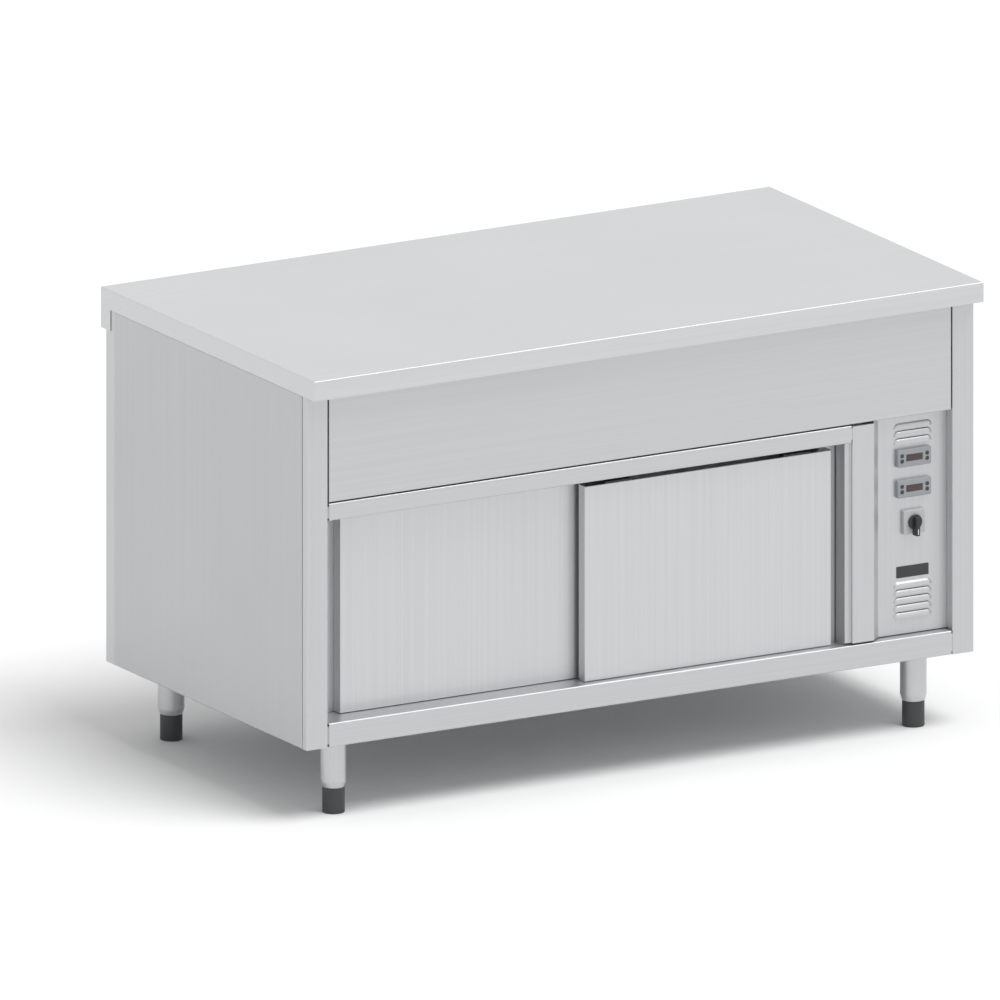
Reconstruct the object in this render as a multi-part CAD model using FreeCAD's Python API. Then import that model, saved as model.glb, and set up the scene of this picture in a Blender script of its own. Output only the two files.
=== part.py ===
import FreeCAD
import Part

import math
import os

# Heated cupboard for warming plates, built as a counter on four round legs.
# Millimetres, +Z up, the working side faces -Y and the controls are at the right of it.
# The origin is on the floor, under the middle of the worktop.

Vector = FreeCAD.Vector

# Overall size
overall_width = 1500.0
overall_depth = 830.0
overall_height = 900.0
leg_height = 150.0
side_overhang = 2.0
front_overhang = 34.0
rear_overhang = 15.0

# Sheet metal and fits
sheet = 1.5
inner_sheet = 1.0
bend = 1.5
fit_gap = 0.3
reveal = 2.5
overrun = 5.0
tolerance = 0.001

# Worktop
worktop_edge = 40.0
worktop_edge_radius = 2.5
front_lip = 22.0
rear_skirt = 82.0
rear_skirt_return = 36.0
stiffener_crown = 60.0
stiffener_flange = 20.0
stiffener_end_gap = 2.0

# Posts
post_width = 48.0
front_post_side = 18.0
rear_post_side = 35.0
post_lip = 12.0
post_return = 20.0
rear_post_return = 20.0
post_cap = 3.0
tab_reach = 18.0
tab_margin = 6.0
fascia_tab_lift = 30.0

# Outer panels
panel_return = 20.0
panel_proud = 1.5
panel_corner_radius = 2.5
leg_plate = 100.0
leg_plate_thickness = 4.0
floor_side_gap = 20.0

# Front rails and fascia
bottom_rail_height = 48.0
bottom_rail_lip = 13.0
head_rail_height = 35.0
head_rail_hem = 12.0
head_rail_back = 7.0
fascia_height = 215.0
fascia_return = 22.0

# Centre post
centre_post_width = 50.0
controls_width = 174.0
centre_lip_width = 13.0
centre_lip_setback = 7.5
centre_post_lip = 12.0
centre_post_foot = 4.0
centre_foot_setback = 20.0
centre_post_top_drop = 2.0
centre_tab_width = 22.0
head_joint_gap = 0.5

# Doors
door_overlap = 23.0
door_thickness = 23.5
door_skin = 1.2
door_corner_radius = 2.0
door_bottom_gap = 1.0
door_top_gap = 13.5
front_door_depth = 20.0
track_pitch = 33.0
left_finger_gap = 57.0
right_finger_gap = 36.0
liner_return = 6.0
guide_slot_width = 9.0
guide_slot_margin = 3.0
guide_tongue_width = 10.0
guide_tongue_thickness = 7.0
guide_tongue_height = 9.0

# Door track, hangers and rollers
track_sheet = 2.0
track_front = 10.0
track_rear = 75.0
track_end_gap = 3.0
track_web_setback = 8.0
rail_drop = 32.0
rail_lip = 6.0
rail_line = 10.0
roller_radius = 12.0
roller_groove_radius = 10.0
roller_groove_half = 1.4
roller_half_width = 3.5
roller_end_margin = 76.5
roller_hub_gap = 1.0
axle_radius = 2.5
axle_play = 0.05
axle_head_width = 8.0
axle_head_thickness = 1.0
hanger_plate = 3.0
hanger_length = 60.0
hanger_top_margin = 8.0
stop_thickness = 4.0
stop_height = 8.0
stop_play = 0.5

# Chamber
chamber_front = 77.0
chamber_rear_insulation = 46.5
jamb_width = 78.0
right_jamb_depth = 44.0
right_jamb_width = 39.0
right_jamb_return = 8.0
chamber_floor_lift = 17.0
chamber_ceiling_drop = 30.0
chamber_wall_overlap = 25.0
insulation_thickness = 42.0
insulation_margin = 12.0

# Shelf and its carriers
upright_width = 25.0
upright_projection = 12.0
upright_inset = 60.0
upright_slot_pitch = 50.0
upright_slot_width = 4.0
upright_slot_height = 12.0
upright_lift = 10.0
shelf_height_share = 0.474
shelf_edge = 25.0
shelf_front_gap = 15.0
shelf_rear_gap = 12.0
shelf_side_gap = 0.5
shelf_stiffener_drop = 18.0
shelf_stiffener_crown = 50.0
shelf_stiffener_end_gap = 60.0
bracket_width = 24.0
bracket_height = 20.0
bracket_overhang = 10.0
hook_reach = 3.0
hook_width = 3.0
hook_height = 10.0

# Heating elements and the guard over them
heater_radius = 4.25
heater_lift = 18.0
heater_half_pitch = 40.0
heater_end_gap = 100.0
heater_terminal = 30.0
heater_sides = 8
heater_hole_play = 0.5
saddle_width = 15.0
saddle_margin = 12.0
saddle_count = 3
heater_count = 2
guard_height = 37.0
guard_slot_length = 95.0
guard_slot_width = 10.0
guard_slot_columns = 6
guard_slot_rows = 3

# Legs and feet
leg_inset_x = 100.0
leg_inset_y = 100.0
leg_radius = 26.0
leg_wall = 1.5
leg_end_radius = 22.5
leg_end_height = 52.0
leg_taper_height = 11.0
leg_plug_height = 33.0
leg_cap = 4.0
stud_radius = 6.0
stud_play = 0.2
stud_length = 22.0
foot_radius = 22.0
foot_chamfer = 1.5
spindle_radius = 8.0
spindle_play = 0.05
spindle_length = 60.0

# Control panel
panel_setback = 22.7
panel_left_setback = 7.0
panel_wing_width = 20.0
panel_lift = 2.0
panel_top_overlap = 20.0
seat_length = 46.0
louvre_width = 84.0
louvre_height = 10.5
louvre_depth = 5.0
louvre_wall = 1.2
louvre_pitch = 15.2
louvre_end_slope = 8.0
louvre_bulge_height_share = 0.70
louvre_bulge_depth_share = 0.74
upper_louvre_count = 3
lower_louvre_count = 5

# Free height above each block of controls, from the top down, as shares of all the free height
control_gap_shares = (0.101, 0.057, 0.139, 0.142, 0.342, 0.044)

# Thermostats and their buttons
thermostat_width = 75.0
thermostat_height = 35.4
thermostat_depth = 9.0
thermostat_corner = 2.0
thermostat_case_width = 71.0
thermostat_case_height = 28.8
thermostat_case_length = 60.0
thermostat_play = 0.2
window_width = 38.0
window_height = 15.0
window_recess = 1.2
button_size = 7.5
button_play = 0.1
button_proud = 1.0
button_length = 4.0
button_travel = 0.7
button_bottom_play = 0.2
button_offset_x = 28.0
button_offset_z = 5.3

# Main switch and the plate under it
switch_plate = 48.0
switch_plate_depth = 8.5
switch_corner = 2.0
switch_case = 44.0
switch_case_length = 55.0
switch_shaft_radius = 4.0
switch_shaft_length = 7.0
knob_base_radius = 15.0
knob_base_depth = 5.0
knob_depth = 15.6
knob_bar_width = 11.0
knob_bar_up = 12.0
knob_bar_down = 26.0
knob_edge_radius = 1.5
plate_width = 72.0
plate_height = 23.0
plate_thickness = 1.0
plate_corner = 1.0

# Supply entry
gland_x_inset = 110.0
gland_y_inset = 200.0
gland_bore_radius = 7.0
gland_thread_radius = 12.5
gland_hex_width = 32.0
gland_hex_height = 8.0
gland_dome_radius = 14.5
gland_dome_mouth_radius = 10.0
gland_dome_height = 18.0
gland_nut_height = 6.0
gland_hole_play = 0.3
terminal_length = 62.0
terminal_depth = 32.0
terminal_height = 26.0
terminal_foot = 6.0
terminal_slot = 6.0
terminal_slot_depth = 5.0
terminal_slot_count = 5
terminal_gap = 60.0

# Places worked out from the sizes above
half_width = overall_width / 2
half_depth = overall_depth / 2
body_side = half_width - side_overhang
body_front = -half_depth + front_overhang
body_rear = half_depth - rear_overhang
body_bottom = leg_height
body_top = overall_height - worktop_edge
post_inner = body_side - post_width
ledge = body_bottom + bottom_rail_height
fascia_bottom = body_top - reveal - fascia_height
head_top = fascia_bottom - reveal
head_bottom = head_top - head_rail_height
chamber_face = body_front + chamber_front
chamber_rear = body_rear - sheet - chamber_rear_insulation
centre_right = post_inner - controls_width
centre_left = centre_right - centre_post_width
chamber_right = centre_left - centre_lip_width
chamber_floor_z = ledge + chamber_floor_lift
chamber_ceiling_z = head_bottom - chamber_ceiling_drop
door_bottom = ledge + door_bottom_gap
door_top = head_bottom - door_top_gap
doors_span = centre_left + post_inner - left_finger_gap - right_finger_gap
door_width = (doors_span + door_overlap) / 2
rear_door_depth = front_door_depth + track_pitch
left_door_x = -post_inner + left_finger_gap
right_door_x = centre_left - right_finger_gap - door_width
track_z = head_top - sheet
rail_bottom = track_z - rail_drop
rail_top = rail_bottom + rail_lip
roller_z = rail_top + roller_groove_radius + fit_gap
panel_face = body_front + panel_setback
control_middle = (centre_right + panel_wing_width + post_inner) / 2
leg_x = half_width - leg_inset_x
leg_y = half_depth - leg_inset_y
guard_top = chamber_floor_z + guard_height
shelf_z = guard_top + (chamber_ceiling_z - guard_top) * shelf_height_share
chamber_middle_x = (chamber_right - post_inner) / 2


# Shape helpers
def spread(middle, width):
    """Ends of a span of the given width about its middle."""
    return (middle - width / 2, middle + width / 2)


def inset(span, margin):
    """The span with the margin taken off both ends."""
    return (span[0] + margin, span[1] - margin)


def box(x_span, y_span, z_span):
    """Block between the ends of three spans."""
    corner = Vector(x_span[0], y_span[0], z_span[0])
    return Part.makeBox(x_span[1] - x_span[0], y_span[1] - y_span[0], z_span[1] - z_span[0], corner)


def on_plane(plane, u, v, level):
    """Point u, v of a drawing plane that lies at the level across it."""
    if plane == "xy":
        return Vector(u, v, level)
    if plane == "xz":
        return Vector(u, level, v)
    return Vector(level, u, v)


def corner_points(before, point, after, radius):
    """Start, middle and end of the arc that rounds a corner, or the corner alone when it is sharp."""
    if radius == 0:
        return [point]
    to_before = (before - point).normalize()
    to_after = (after - point).normalize()
    half_angle = to_before.getAngle(to_after) / 2
    reach = radius / math.tan(half_angle)
    bisector = (to_before + to_after).normalize()
    middle = point + bisector * (radius / math.sin(half_angle) - radius)
    return [point + to_before * reach, middle, point + to_after * reach]


def outline(plane, points, radii, level):
    """Closed wire through the points, with each corner rounded by its own radius."""
    flat = [Vector(u, v, 0) for u, v in points]
    corners = []
    for index, point in enumerate(flat):
        after = flat[(index + 1) % len(flat)]
        corners.append(corner_points(flat[index - 1], point, after, radii[index]))
    edges = []
    for index, corner in enumerate(corners):
        placed = [on_plane(plane, place.x, place.y, level) for place in corner]
        if len(placed) > 1:
            edges.append(Part.Arc(*placed).toShape())
        following = corners[(index + 1) % len(corners)][0]
        end = on_plane(plane, following.x, following.y, level)
        if placed[-1].distanceToPoint(end) > tolerance:
            edges.append(Part.LineSegment(placed[-1], end).toShape())
    return Part.Wire(edges)


def prism(plane, points, span, radii=None):
    """Outline drawn on a plane and carried across it over the span."""
    corner_radii = radii or [0] * len(points)
    face = Part.Face(outline(plane, points, corner_radii, span[0]))
    return face.extrude(on_plane(plane, 0, 0, span[1] - span[0]))


def rectangle(u_span, v_span):
    """Corners of a rectangle, anticlockwise."""
    return [(u_span[0], v_span[0]), (u_span[1], v_span[0]), (u_span[1], v_span[1]), (u_span[0], v_span[1])]


def folded(plane, path, span, thickness=sheet, inside=bend):
    """Bent sheet to the left of the path, which is its outer face; inside is the bends' radius."""
    outside = inside + thickness if inside else 0
    places = [Vector(u, v, 0) for u, v in path]
    headings = [(end - start).normalize() for start, end in zip(places, places[1:])]
    normals = [Vector(-heading.y, heading.x, 0) for heading in headings]
    near_radii = [0]
    far_radii = [0]
    far = [places[0] + normals[0] * thickness]
    for index in range(1, len(places) - 1):
        before = normals[index - 1]
        after = normals[index]
        far.append(places[index] + (before + after) * (thickness / (1 + before.dot(after))))
        left_turn = headings[index - 1].cross(headings[index]).z > 0
        near_radii.append(outside if left_turn else inside)
        far_radii.append(inside if left_turn else outside)
    far.append(places[-1] + normals[-1] * thickness)
    near_radii.append(0)
    far_radii.append(0)
    corners = [(place.x, place.y) for place in places + far[::-1]]
    return prism(plane, corners, span, near_radii + far_radii[::-1])


def rolled(solid, axis, sign, radius):
    """The solid with the edges of its closed side rounded; it is open along the axis, to the sign's side."""
    bounds = solid.BoundBox
    lows = (bounds.XMin, bounds.YMin, bounds.ZMin)
    highs = (bounds.XMax, bounds.YMax, bounds.ZMax)
    closed = lows[axis] if sign > 0 else highs[axis]
    edges = [edge for edge in solid.Edges if abs(edge.CenterOfMass[axis] - closed) < tolerance]
    return solid.makeFillet(radius, edges)


def pan(spans, axis, sign, wall, radius):
    """Sheet tray: a block hollowed from its open side, which faces along the axis by the sign."""
    inner = [inset(span, wall) for span in spans]
    if sign > 0:
        inner[axis] = (spans[axis][0] + wall, spans[axis][1] + overrun)
    else:
        inner[axis] = (spans[axis][0] - overrun, spans[axis][1] - wall)
    return rolled(box(*spans), axis, sign, radius).cut(box(*inner))


def cylinder(radius, start, direction, length):
    """Round bar from its start along a direction."""
    return Part.makeCylinder(radius, length, start, direction)


def turned(points, centre):
    """Solid of revolution about the upright axis through the centre; points are radius and height."""
    places = [centre + Vector(radius, 0, height) for radius, height in points]
    face = Part.Face(Part.makePolygon(places + places[:1]))
    return face.revolve(centre, Vector(0, 0, 1), 360)


def even_sided(sides, width):
    """Corners of a figure with even sides about zero, measured across its flats."""
    radius = width / 2 / math.cos(math.pi / sides)
    turns = [math.pi * (2 * corner + 1) / sides for corner in range(sides)]
    return [(radius * math.cos(turn), radius * math.sin(turn)) for turn in turns]


def hexagon(width, centre, height):
    """Upright six-sided prism, measured across its flats."""
    points = [(centre.x + u, centre.y + v) for u, v in even_sided(6, width)]
    return prism("xy", points, (centre.z, centre.z + height))


def mirrored(solid, middle=0):
    """The solid mirrored left to right about a middle plane."""
    return solid.mirror(Vector(middle, 0, 0), Vector(1, 0, 0))


def group(solids):
    """Separate solids kept in one piece of the drawing."""
    return Part.makeCompound(solids)


def united(solids):
    """Solids joined into one."""
    return solids[0].fuse(solids[1:]).removeSplitter()


# Worktop and frame
def worktop():
    """Folded top with an edge all round and a deeper skirt along the customer side."""
    skirt_bottom = overall_height - rear_skirt
    wide = (-half_width, half_width)
    deep = (-half_depth, half_depth)
    top = pan((wide, deep, (skirt_bottom, overall_height)), 2, -1, sheet, worktop_edge_radius)
    clear_wide = (wide[0] - overrun, wide[1] + overrun)
    clear_deep = (deep[0] - overrun, half_depth - rear_skirt_return)
    top = top.cut(box(clear_wide, clear_deep, (skirt_bottom - overrun, body_top)))
    lip_wide = inset(wide, worktop_edge_radius)
    front = (deep[0] + sheet / 2, deep[0] + front_lip)
    rear = (body_rear + fit_gap, deep[1] - sheet / 2)
    front_hem = box(lip_wide, front, (body_top, body_top + sheet))
    rear_hem = box(lip_wide, rear, (skirt_bottom, skirt_bottom + sheet))
    return united([top, front_hem, rear_hem])


def hat_section(middle, crown, flange, bottom, top, span):
    """Hat-shaped stiffener along X whose flanges meet the sheet above it."""
    low, high = spread(middle, crown)
    seat = top - sheet
    left = [(low - flange, seat), (low, seat), (low, bottom)]
    right = [(high, bottom), (high, seat), (high + flange, seat)]
    return folded("yz", left + right, span, sheet, 0)


def worktop_stiffeners():
    """Three hat sections under the worktop, seated on the posts and the side panels."""
    reach = half_width - sheet - stiffener_end_gap
    front_y = body_front + front_post_side + stiffener_crown / 2
    rear_y = half_depth - sheet - stiffener_end_gap - stiffener_flange - stiffener_crown / 2
    places = [front_y, (front_y + rear_y) / 2, rear_y]
    under = overall_height - sheet
    span = (-reach, reach)
    return group([hat_section(y, stiffener_crown, stiffener_flange, body_top, under, span) for y in places])


def tab(x_span, depth, z_span):
    """Flat seat strip, its front face at a depth behind the front of the body."""
    front = body_front + depth
    return box(x_span, (front, front + sheet), z_span)


def front_post_section():
    """Left front corner post, without its seats."""
    side_back = body_front + front_post_side
    path = [
        (-body_side + post_return, side_back),
        (-body_side, side_back),
        (-body_side, body_front),
        (-post_inner, body_front),
        (-post_inner, chamber_face),
        (-post_inner - post_lip, chamber_face),
    ]
    return folded("xy", path, (body_bottom, body_top))


def front_post_cap():
    """Top plate of the left front post."""
    left, right = inset((-body_side, -post_inner), sheet / 2)
    front, rear = inset((body_front, chamber_face), sheet / 2)
    notch_x = -body_side + post_return + fit_gap
    notch_y = body_front + front_post_side - sheet / 2
    notch = [(notch_x, rear), (notch_x, notch_y), (left, notch_y)]
    points = [(left, front), (right, front), (right, rear)] + notch
    return prism("xy", points, (body_top - post_cap, body_top))


def front_post(seats):
    """Left front post with a cap and the seats that carry the pieces beside it."""
    reach = (-post_inner - sheet / 2, -post_inner + tab_reach)
    tabs = [tab(reach, depth, z_span) for depth, z_span in seats]
    return united([front_post_section(), front_post_cap()] + tabs)


def shared_seats():
    """Depth and height of the seats that both front posts have."""
    fascia = (fascia_return, (fascia_bottom + fascia_tab_lift, body_top - tab_margin))
    bottom = (sheet, inset((body_bottom, ledge), tab_margin))
    return [fascia, bottom]


def front_left_post():
    """Corner post at the left of the doors."""
    head = (sheet, inset((head_bottom, head_top), tab_margin))
    return front_post(shared_seats() + [head])


def front_right_post():
    """Corner post at the right of the controls."""
    controls = (panel_setback + sheet, inset((ledge, fascia_bottom), tab_margin))
    return mirrored(front_post(shared_seats() + [controls]))


def rear_left_post():
    """Corner post on the customer side, with its top plate."""
    side_front = body_rear - rear_post_side
    path = [
        (-post_inner, body_rear - rear_post_return),
        (-post_inner, body_rear),
        (-body_side, body_rear),
        (-body_side, side_front),
        (-body_side + post_return, side_front),
    ]
    section = folded("xy", path, (body_bottom, body_top))
    x_span = inset((-body_side, -post_inner), sheet / 2)
    y_span = (side_front + sheet / 2, body_rear - sheet / 2)
    return united([section, box(x_span, y_span, (body_top - post_cap, body_top))])


def left_side_panel():
    """Outer side, a tray turned inwards between the two posts."""
    face = -body_side - panel_proud
    y_span = (body_front + front_post_side + fit_gap, body_rear - rear_post_side - fit_gap)
    spans = ((face, face + panel_return), y_span, (body_bottom, body_top))
    return pan(spans, 0, 1, sheet, panel_corner_radius)


def rear_panel():
    """Outer panel on the customer side, between the rear posts."""
    x_span = inset((-post_inner, post_inner), fit_gap)
    spans = (x_span, (body_rear - panel_return, body_rear), (body_bottom, body_top))
    return pan(spans, 1, -1, sheet, panel_corner_radius)


def leg_places():
    """Middle of each leg: front left, front right, rear left, rear right."""
    return [(-leg_x, -leg_y), (leg_x, -leg_y), (-leg_x, leg_y), (leg_x, leg_y)]


def stud_holes():
    """Cutters for the studs of the four legs."""
    radius = stud_radius + stud_play
    height = stud_length + overrun * 2
    low = body_bottom - overrun
    return [cylinder(radius, Vector(x, y, low), Vector(0, 0, 1), height) for x, y in leg_places()]


def base_panel():
    """Bottom sheet with the four plates that the legs screw into, and the hole of the supply entry."""
    reach = body_side - floor_side_gap - fit_gap
    y_span = (chamber_face + fit_gap, body_rear - panel_return - fit_gap)
    sheet_top = body_bottom + sheet
    plates = [
        box(spread(x, leg_plate), spread(y, leg_plate), (sheet_top, sheet_top + leg_plate_thickness))
        for x, y in leg_places()
    ]
    floor = united([box((-reach, reach), y_span, (body_bottom, sheet_top))] + plates)
    hole_radius = gland_thread_radius + gland_hole_play
    hole_start = gland_place() - Vector(0, 0, overrun)
    hole = cylinder(hole_radius, hole_start, Vector(0, 0, 1), overrun * 2 + sheet)
    return floor.cut(stud_holes() + [hole])


# Front rails and centre post
def bottom_rail():
    """Channel under the opening; its upper face is the ledge below the doors."""
    path = [
        (chamber_face, ledge - bottom_rail_lip),
        (chamber_face, ledge),
        (body_front, ledge),
        (body_front, body_bottom),
        (chamber_face, body_bottom),
    ]
    rail = folded("yz", path, inset((-post_inner, post_inner), reveal))
    return rail.cut(stud_holes())


def door_head_rail():
    """Channel over the doors, open to the back, that hides the track."""
    path = [
        (chamber_face + head_rail_back, head_top),
        (body_front, head_top),
        (body_front, head_bottom),
        (body_front + head_rail_hem, head_bottom),
    ]
    return folded("yz", path, inset((-post_inner, centre_left), reveal))


def front_fascia():
    """Plain upper front, a tray between the front posts."""
    x_span = inset((-post_inner, post_inner), reveal)
    y_span = (body_front, body_front + fascia_return)
    return pan((x_span, y_span, (fascia_bottom, body_top - reveal)), 1, 1, sheet, panel_corner_radius)


def centre_post():
    """Post between the doors and the controls, stepped back on the door side."""
    step = body_front + centre_lip_setback
    path = [
        (chamber_right + centre_post_lip, chamber_face),
        (chamber_right, chamber_face),
        (chamber_right, step),
        (centre_left, step),
        (centre_left, body_front),
        (centre_right, body_front),
        (centre_right, chamber_face),
        (centre_right - centre_post_lip, chamber_face),
    ]
    bottom = ledge + centre_post_foot
    top = head_top - centre_post_top_drop
    section = folded("xy", path, (bottom, top))
    clear_x = (chamber_right - overrun, centre_left)
    clear_y = (body_front - overrun, chamber_face + overrun)
    section = section.cut(box(clear_x, clear_y, (head_bottom - head_joint_gap, top + overrun)))
    inner_x = inset((chamber_right, centre_right), sheet / 2)
    foot_y = (body_front + centre_foot_setback, chamber_face - sheet / 2)
    foot = box(inner_x, foot_y, (ledge, bottom + sheet))
    cap_x = (centre_left, centre_right - sheet / 2)
    cap = box(cap_x, (body_front + sheet / 2, chamber_face - sheet / 2), (top - sheet, top))
    head_seat = tab((centre_left - tab_reach, centre_left + tab_reach / 2), sheet, head_seat_span())
    tab_x = spread((centre_left + centre_right) / 2, centre_tab_width)
    fascia_seat = tab(tab_x, fascia_return, (top - sheet / 2, fascia_bottom + panel_return))
    return united([section, foot, cap, head_seat, fascia_seat] + control_seats())


def head_seat_span():
    """Height of the seat that carries the right end of the rail over the doors."""
    return inset((head_bottom, head_top), tab_margin)


def control_seats():
    """Two strips on the centre post that the control panel is screwed to."""
    x_span = (centre_right - sheet / 2, centre_right + panel_wing_width + tab_reach)
    low = (ledge + tab_margin, ledge + tab_margin + seat_length)
    high = (head_top - tab_margin - seat_length, head_top - tab_margin)
    return [tab(x_span, panel_setback + sheet, z_span) for z_span in (low, high)]


# Chamber
def jamb_edge():
    """Right edge of the left jamb."""
    return -post_inner + jamb_width


def left_jamb():
    """Upright strip that closes the chamber behind the left end of the doors."""
    path = [
        (-post_inner + fit_gap, chamber_face + post_return),
        (-post_inner + fit_gap, chamber_face),
        (jamb_edge(), chamber_face),
    ]
    return folded("xy", path, (ledge, track_z))


def right_jamb():
    """Upright strip behind the right end of the doors, in front of the rear track."""
    front = body_front + right_jamb_depth
    left = chamber_right - right_jamb_width
    path = [
        (left, front),
        (chamber_right - fit_gap, front),
        (chamber_right - fit_gap, front + right_jamb_return),
    ]
    return folded("xy", path, (ledge, head_bottom - head_joint_gap))


def chamber_inner_x():
    """Clear width between the side walls of the chamber."""
    return inset((-post_inner, chamber_right), fit_gap)


def chamber_floor():
    """Floor sheet with a front edge turned down to the ledge."""
    rear = chamber_rear - fit_gap
    path = [(rear, chamber_floor_z), (chamber_face, chamber_floor_z), (chamber_face, ledge)]
    x_span = (jamb_edge() + fit_gap, chamber_right - fit_gap)
    sheet_part = folded("yz", path, x_span, inner_sheet, bend)
    side_x = (chamber_inner_x()[0] + sheet, x_span[0] + overrun)
    side_y = (chamber_face + bend + inner_sheet + sheet, rear)
    side = box(side_x, side_y, (chamber_floor_z - inner_sheet, chamber_floor_z))
    return united([sheet_part, side])


def chamber_ceiling():
    """Ceiling sheet with a front edge turned up behind the track."""
    rear = chamber_rear - fit_gap
    path = [(chamber_face, track_z), (chamber_face, chamber_ceiling_z), (rear, chamber_ceiling_z)]
    x_span = (jamb_edge() + fit_gap, chamber_right - fit_gap)
    sheet_part = folded("yz", path, x_span, inner_sheet, bend)
    side_x = (chamber_inner_x()[0] + sheet, x_span[0] + overrun)
    side_y = (chamber_face + bend + inner_sheet + sheet, rear)
    side = box(side_x, side_y, (chamber_ceiling_z, chamber_ceiling_z + inner_sheet))
    return united([sheet_part, side])


def wall_height():
    """Height of the chamber's walls."""
    return (ledge, chamber_ceiling_z + chamber_wall_overlap)


def chamber_rear_wall():
    """Rear sheet of the chamber."""
    return box((-post_inner, chamber_right), (chamber_rear, chamber_rear + inner_sheet), wall_height())


def chamber_left_wall():
    """Left sheet of the chamber."""
    y_span = (chamber_face, chamber_rear + inner_sheet)
    return box((-post_inner - inner_sheet, -post_inner), y_span, wall_height())


def chamber_right_wall():
    """Right sheet of the chamber, with the holes that the heating elements pass through."""
    y_span = (chamber_face, chamber_rear + inner_sheet)
    wall = box((chamber_right, chamber_right + inner_sheet), y_span, wall_height())
    return wall.cut(heater_holes())


def chamber_insulation():
    """Mineral wool slabs at both sides, behind, under and over the chamber."""
    height = inset((body_bottom + sheet, wall_height()[1]), insulation_margin)
    depth = (chamber_face + insulation_margin, chamber_rear)
    width = inset((-post_inner, chamber_right), insulation_margin)
    left_end = -post_inner - inner_sheet - fit_gap
    right_start = chamber_right + inner_sheet + fit_gap
    rear_start = chamber_rear + inner_sheet + fit_gap
    under_top = chamber_floor_z - inner_sheet - fit_gap
    over_start = chamber_ceiling_z + inner_sheet + fit_gap
    left = box((left_end - insulation_thickness, left_end), depth, height)
    right = box((right_start, right_start + insulation_thickness), depth, height).cut(heater_slots())
    rear = box(width, (rear_start, rear_start + insulation_thickness), height)
    stud_top = body_bottom + stud_length + fit_gap
    under = box(width, inset(depth, insulation_margin), (stud_top, under_top))
    over = box(width, inset(depth, insulation_margin), (over_start, over_start + insulation_thickness))
    return group([left, right, rear, under, over])


# Shelf and its carriers
def upright_places():
    """Front and rear positions of the shelf uprights."""
    front = chamber_face + upright_inset
    return [front, chamber_rear - upright_inset]


def upright(y):
    """Left shelf upright: a channel against the wall, with a row of slots."""
    low, high = spread(y, upright_width)
    face = -post_inner + upright_projection
    path = [(-post_inner, low), (face, low), (face, high), (-post_inner, high)]
    z_span = (guard_top + upright_lift, chamber_ceiling_z - upright_lift)
    channel = folded("xy", path, z_span, sheet, 0)
    count = int((z_span[1] - z_span[0]) / upright_slot_pitch)
    slots = [
        box(
            (face - sheet - overrun / 2, face + overrun),
            spread(y, upright_slot_width),
            spread(z_span[0] + upright_slot_pitch * (step + 1 / 2), upright_slot_height),
        )
        for step in range(count)
    ]
    return channel.cut(slots)


def shelf_uprights():
    """Two slotted uprights on each side wall."""
    left = [upright(y) for y in upright_places()]
    return group(left + [mirrored(solid, chamber_middle_x) for solid in left])


def hook_z():
    """Middle of the upright's slot that is nearest below the shelf."""
    start = guard_top + upright_lift
    steps = int((shelf_z - bracket_height / 2 - start) / upright_slot_pitch - 1 / 2)
    return start + upright_slot_pitch * (steps + 1 / 2)


def shelf_bracket():
    """Left angle bar under the shelf, hooked into the slots of its two uprights."""
    face = -post_inner + upright_projection
    top = shelf_z - inner_sheet
    low = hook_z() - hook_height
    path = [(face + bracket_width, top), (face, top), (face, low)]
    front, rear = upright_places()
    angle = folded("xz", path, (front - bracket_overhang, rear + bracket_overhang), sheet, 0)
    hooks = [
        box((face - hook_reach, face + sheet / 2), spread(y, hook_width), spread(hook_z(), hook_height))
        for y in (front, rear)
    ]
    return united([angle] + hooks)


def shelf_brackets():
    """One bracket at each side of the chamber."""
    left = shelf_bracket()
    return group([left, mirrored(left, chamber_middle_x)])


def shelf():
    """Loose shelf with turned edges front and rear, and a stiffener underneath."""
    front = chamber_face + shelf_front_gap
    rear = chamber_rear - shelf_rear_gap
    path = [(rear, shelf_z - shelf_edge), (rear, shelf_z), (front, shelf_z), (front, shelf_z - shelf_edge)]
    reach = inset((-post_inner, chamber_right), upright_projection + shelf_side_gap)
    board = folded("yz", path, reach, inner_sheet)
    span = inset(reach, shelf_stiffener_end_gap)
    bottom = shelf_z - shelf_stiffener_drop
    under = shelf_z - inner_sheet
    middle = (front + rear) / 2
    stiffener = hat_section(middle, shelf_stiffener_crown, panel_return, bottom, under, span)
    return united([board, stiffener])


# Heating elements
def heater_places():
    """Middle of each heating element, front to rear."""
    pitch = (chamber_rear - chamber_face) / heater_count
    return [chamber_face + pitch * (index + 1 / 2) for index in range(heater_count)]


def heater_leg_places():
    """Every straight leg of the heating elements."""
    return [middle + side * heater_half_pitch for middle in heater_places() for side in (-1, 1)]


def heater_holes():
    """Cutters where the heating elements pass through the right side of the chamber."""
    z = chamber_floor_z + heater_lift
    section = even_sided(heater_sides, (heater_radius + heater_hole_play) * 2)
    x_span = (chamber_right - overrun, chamber_right + inner_sheet + overrun)
    return [prism("yz", [(y + u, z + v) for u, v in section], x_span) for y in heater_leg_places()]


def heater_slots():
    """Cutters that clear the same places in the insulation."""
    size = (heater_radius + heater_hole_play) * 2
    x_span = (chamber_right, chamber_right + insulation_thickness + overrun)
    z_span = spread(chamber_floor_z + heater_lift, size)
    return [box(x_span, spread(y, size), z_span) for y in heater_leg_places()]


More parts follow.
